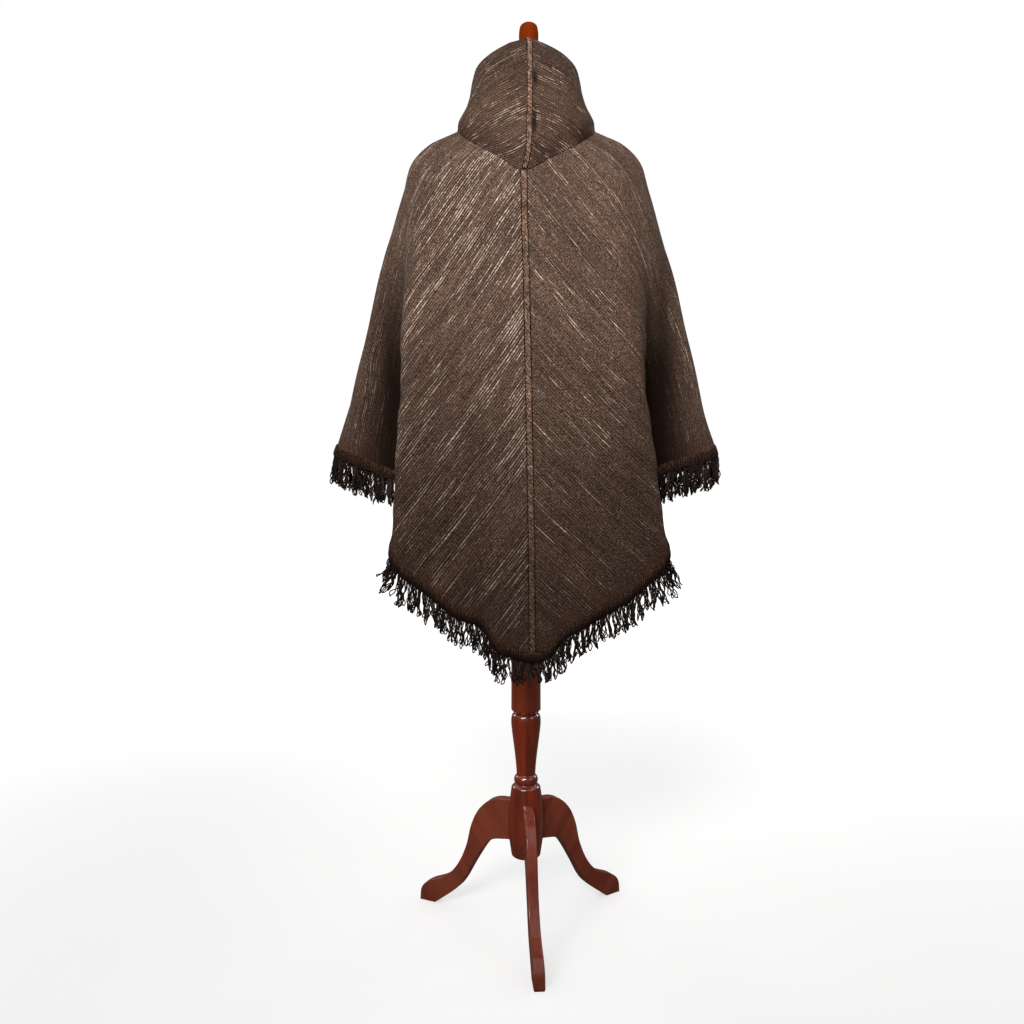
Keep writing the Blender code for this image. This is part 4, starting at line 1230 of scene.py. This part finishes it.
def hood_wool(group):
    """The hood, with painted light towards its lower edge and painted shade in its puckers."""
    new, graph = start_wool("hood_wool")
    cloth = woven(graph, group, HOOD_DYES, STREAKS["hood"], RIBS["hood"])
    depth, up, _ = graph.parts(graph.uv_map("Edge"))
    # painted light: the hood's lower part is lightened as though more light reached it
    colour = graph.shaded(cloth.outputs["Colour"], graph.ramp(up, *HOOD_PAINTED_LIGHT_SPAN))
    # painted shade deep in the hood's puckers
    deep = graph.ramp(depth, *HOOD_CREASE_SHADE_SPAN)
    return end_wool(new, graph, cloth, graph.mix(deep, colour, rgba(PAINTED_SHADE_BROWN)))


def edging_wool(group):
    """The hem's edging, with painted shade on its underside and along the middle of the back and
    front.
    """
    new, graph = start_wool("woven_edging")
    cloth = woven(graph, group, EDGING_DYES, STREAKS["edging"], RIBS["edging"])
    station, down, _ = graph.parts(graph.uv_map("Edge"))
    # painted shade: the edging's underside and its middle stretches take its dark dye
    deep = graph.times(graph.ramp(station, *EDGING_SHADE_SPAN), graph.ramp(down, *EDGING_DOWN_SHADE_SPAN))
    colour = graph.mix(deep, cloth.outputs["Colour"], rgba(EDGING_DYES[0]))
    return end_wool(new, graph, cloth, colour)


def yarn_material(name, group, dyes, twist):
    """Twisted wool yarn."""
    new, graph = start_material(name, 0.8, specular=0.12)
    yarn = graph.put("Group", {
        "Weave": graph.uv_map("Weave"), "Dark": rgba(dyes[0]), "Red": rgba(dyes[1]),
        "Twist Length": twist}, node_tree=group)
    graph.finish(yarn.outputs["Colour"], yarn.outputs["Height"], YARN_RELIEF)
    return new


def wood_material(group, name, light, dark, grain, gloss, turn):
    """Lacquered wood: the grain's size along each axis of the piece, and its turn about z."""
    new, graph = start_material(name, 0.3, specular=0.02 + 0.30 * gloss, coat=gloss)
    drawn = graph.put("Mapping", {
        "Vector": graph.place(), "Scale": grain, "Rotation": (0.0, 0.0, math.radians(turn))},
        vector_type="TEXTURE").outputs[0]
    wood = graph.put("Group", {"Place": drawn, "Light": rgba(light), "Dark": rgba(dark)},
                     node_tree=group)
    rough = graph.plus(wood.outputs["Roughness"], 0.3 * (1 - gloss))
    graph.set(graph.shader, {"Coat IOR": 1.7, "Roughness": rough})
    graph.finish(wood.outputs["Colour"], wood.outputs["Height"], WOOD_RELIEF, 0.4)
    return new


def linen_material(name):
    """Plain linen with a fine even weave."""
    new, graph = start_material(name, 0.85, sheen=0.1)
    place = graph.place()
    threads = [graph.noise(graph.put("Mapping", {"Vector": place, "Scale": scale}).outputs[0],
                           1.0, 2.0)
               for scale in ((900.0, 900.0, 260.0), (160.0, 160.0, 1100.0))]
    both = graph.plus(*threads)
    deep = tuple(c * 0.86 for c in LINEN)
    colour = graph.mix(graph.ramp(both, 0.7, 1.3), rgba(deep), rgba(LINEN))
    graph.finish(colour, both, LINEN_RELIEF)
    return new


def floor_material():
    """A plain pale floor that gives back little light and fades into the sky far off."""
    new, graph = start_material("pale_floor", 0.6)
    place = graph.place()
    cloudy = graph.ramp(graph.noise(place, 1.5, 3.0), 0.3, 0.7)
    soft = tuple(c * 0.985 for c in FLOOR)
    ray = graph.put("LightPath").outputs["Is Camera Ray"]
    pale = graph.mix(cloudy, rgba(soft), rgba(FLOOR))
    far = graph.put("VectorMath", {0: place}, operation="LENGTH").outputs["Value"]
    graph.set(graph.shader, {
        "Base Color": graph.mix(ray, rgba(FLOOR_BOUNCE), pale), "Emission Color": WHITE,
        "Emission Strength": graph.times(graph.ramp(far, *FLOOR_LIFT), ray)})
    return new


# ---------------------------------------------------------------- stage

def add_camera():
    """The camera, level with the hem's height and square to the back."""
    data = bpy.data.cameras.new("camera")
    data.sensor_width = SENSOR
    data.lens = FOCAL_PX / FRAME_PX * SENSOR
    middle = FRAME_PX / 2
    aside = -(AXIS_PX - middle) / FOCAL_PX * CAMERA_DISTANCE
    pitch = math.atan((middle - HORIZON_PX) / FOCAL_PX)
    camera = add_object("camera", data)
    camera.location = (aside, AXIS_Y - CAMERA_DISTANCE, CAMERA_HEIGHT)
    camera.rotation_euler = (math.radians(90) - pitch, 0.0, 0.0)
    bpy.context.scene.camera = camera


def add_light(name, place, spread, softness, power, aim):
    """A soft light whose beam fades out towards its edge."""
    data = bpy.data.lights.new(name, "SPOT")
    data.spot_size = math.radians(spread)
    data.spot_blend = 1.0
    data.shadow_soft_size = softness
    data.energy = power
    light = add_object(name, data)
    light.location = place
    way = np.array(aim) - place
    light.rotation_euler = (math.acos(-way[2] / np.linalg.norm(way)), 0.0,
                            math.atan2(way[1], way[0]) - math.pi / 2)


def sky_world():
    """An even white sky to look at, that lights mostly from overhead."""
    world = bpy.data.worlds.new("studio")
    world.use_nodes = True
    graph = Graph(world.node_tree)
    graph.tree.nodes.clear()
    height = graph.parts(graph.put("TexCoord").outputs["Generated"])[2]
    lit, seen = (graph.put("Background", {"Color": WHITE, "Strength": strength}).outputs[0]
                 for strength in (graph.ramp(height, *SKY_LIGHT), SKY_SEEN))
    ray = graph.put("LightPath").outputs["Is Camera Ray"]
    both = graph.put("MixShader", {0: ray, 1: lit, 2: seen}).outputs[0]
    graph.put("OutputWorld", {"Surface": both})
    return world


def add_surroundings():
    """A pale floor that fades into a pale sky, with soft lights all round."""
    bpy.ops.mesh.primitive_circle_add(vertices=96, radius=FLOOR_RADIUS, fill_type="NGON")
    floor = bpy.context.object
    floor.name = "floor"
    floor.data.materials.append(floor_material())
    bpy.context.scene.world = sky_world()
    bpy.context.scene.view_settings.view_transform = "Standard"
    for light in LIGHTS:
        add_light(*light)


# ---------------------------------------------------------------- the piece

def place(piece, material, slot, *nodes):
    """Give a piece its finish and the CAD nodes that it stands for; the slot is not used."""
    piece.data.materials.clear()
    piece.data.materials.append(material)
    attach(piece, BODY)
    if nodes:
        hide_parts(*nodes)
    return piece


def seam_weave(half, back):
    """The yarn coordinates of points near a half's centre seam."""
    column = 0 if back else -1
    beside = SEAM_YARN_COLUMNS if back else -1 - SEAM_YARN_COLUMNS
    line, other = half.grid[:, column], half.grid[:, beside]
    across = (half.weave[:, beside] - half.weave[:, column]) \
        / np.linalg.norm(other - line, axis=1)[:, None]

    def coordinates(points):
        """Yarn coordinates on the seam's lap, from the line that it covers."""
        rows = points.shape[0]
        start = line[-rows:]
        run = half.weave[-rows:, column][:, None] \
            + across[-rows:, None] * (points[..., :1] - start[:, None, :1])
        return run * LAP_STRIPES
    return coordinates


def hood_lap_weave(points):
    """The yarn coordinates of points on the hood's seam."""
    by_x, by_z = HOOD_LAP_SLANT
    across = points[..., 2] * by_z + points[..., 0] * by_x
    return LAP_STRIPES * np.stack((across, points[..., 0]), axis=-1)


def edge_map(half):
    """Each point's station, and how far above the hem it lies."""
    station = np.broadcast_to(half.station, half.to_hem.shape)
    return np.stack((station, half.to_hem), axis=-1)


def hood_weave(grid, side):
    """Yarn coordinates on a half hood: the yarns slant down from the seam, less at the crown."""
    out = lengths_along(grid, 1)
    up = lengths_along(grid, 0)[:, :1]
    slant = np.radians(np.interp(up, HOOD_SLANT_UP, HOOD_SLANT))
    across = up + out * np.tan(slant)
    along = out / np.cos(slant)
    wide, long = HOOD_YARN_SCALE
    return np.stack((across * wide + HOOD_YARN_START[side], along * long), axis=-1)


def near_seam(half, back):
    """The points and normals of a half, counted from its centre seam, below the neckline."""
    rows = slice(SEAM_FIRST_ROW, None)
    way = slice(None, None, 1 if back else -1)
    return half.grid[rows, way], half.normals[rows, way]


def sew(label, left, right, weave, looks, half_width=FELL_HALF):
    """Place a felled seam and its stitches."""
    seam = felled_seam(f"felled_seam_{label}", left, right, weave, half_width)
    place(seam, looks["seam"], "seam", f"seam_{label}")
    thread = stitches(f"stitches_{label}", left, right, half_width)
    return [seam, place(thread, looks["thread"], "seam")]


def trim_hem(side, half, looks, shuffle):
    """Place the edging and the fringe of a half, back and front."""
    trim = []
    for label in ("back", "front"):
        hem = hem_line(half, label == "front")
        edging = edging_object(f"edging_{label}_{side}", hem, shuffle)
        place(edging, looks["edging"], "fringe", f"fringe_{label}_{side}")
        locks = yarns_object(f"locks_{label}_{side}", fringe_paths(hem, shuffle),
                             YARN_RADIUS, LOCK_SIDES)
        rework(locks.data, face_outwards)
        trim += [edging, place(locks, looks["fringe"], "fringe")]
    return trim


def add_garment():
    """Make and place the poncho with its hood, seams, edging and fringe."""
    shuffle = np.random.default_rng(SEED)
    weave, yarn = weave_group(), yarn_group()
    looks = {"edging": edging_wool(weave), "seam": lap_wool(weave), "hood": hood_wool(weave),
             "fringe": yarn_material("fringe_wool", yarn, FRINGE_DYES, FRINGE_TWIST),
             "thread": yarn_material("sewing_thread", yarn, THREAD_DYES, THREAD_TWIST)}
    halves = {side: Half(side) for side in SIDES}
    sewn = []
    for label in ("back", "front"):
        back = label == "back"
        left, right = (near_seam(halves[side], back) for side in SIDES)
        sewn += sew(label, left, right, seam_weave(halves["right"], back), looks)

    hoods, beside_seam = {}, []
    for side, half in halves.items():
        trim = trim_hem(side, half, looks, shuffle)
        cloth = cloth_object(f"cloth_{side}", half.grid, half.normals, half.weave,
                             edge_map(half), CLOTH)
        place(cloth, panel_wool(side, weave), "wool", f"panel_{side}")
        grid, edge = hood_surface(half)
        normals = outward(grid)
        beside_seam.append((grid[1:], normals[1:]))
        hoods[side] = cloth_object(f"hood_cloth_{side}", grid, normals,
                                   hood_weave(grid, side), edge, CLOTH)
        place(hoods[side], looks["hood"], "wool", f"hood_{side}")

    hood_seam = sew("hood", *beside_seam, hood_lap_weave, looks, HOOD_FELL_HALF)


def add_stand():
    """Make and place the dress form and its wooden stand."""
    form = form_object("form_cover", "dress_form")
    place(form, linen_material("linen"), "linen", "dress_form")
    grain = wood_group()
    woods = {key: wood_material(grain, *wood) for key, wood in WOODS.items()}
    for name, node, wood, slot, rounding in TURNED_PIECES:
        place(turned_object(name, node, rounding), woods[wood], slot, node)
    for number, angle in enumerate(LEG_ANGLES, start=1):
        leg = leg_object(f"sawn_leg_{number}", angle)
        place(leg, woods["sawn"], "mahogany", f"leg_{number}")


add_camera()
add_garment()
add_stand()
add_surroundings()
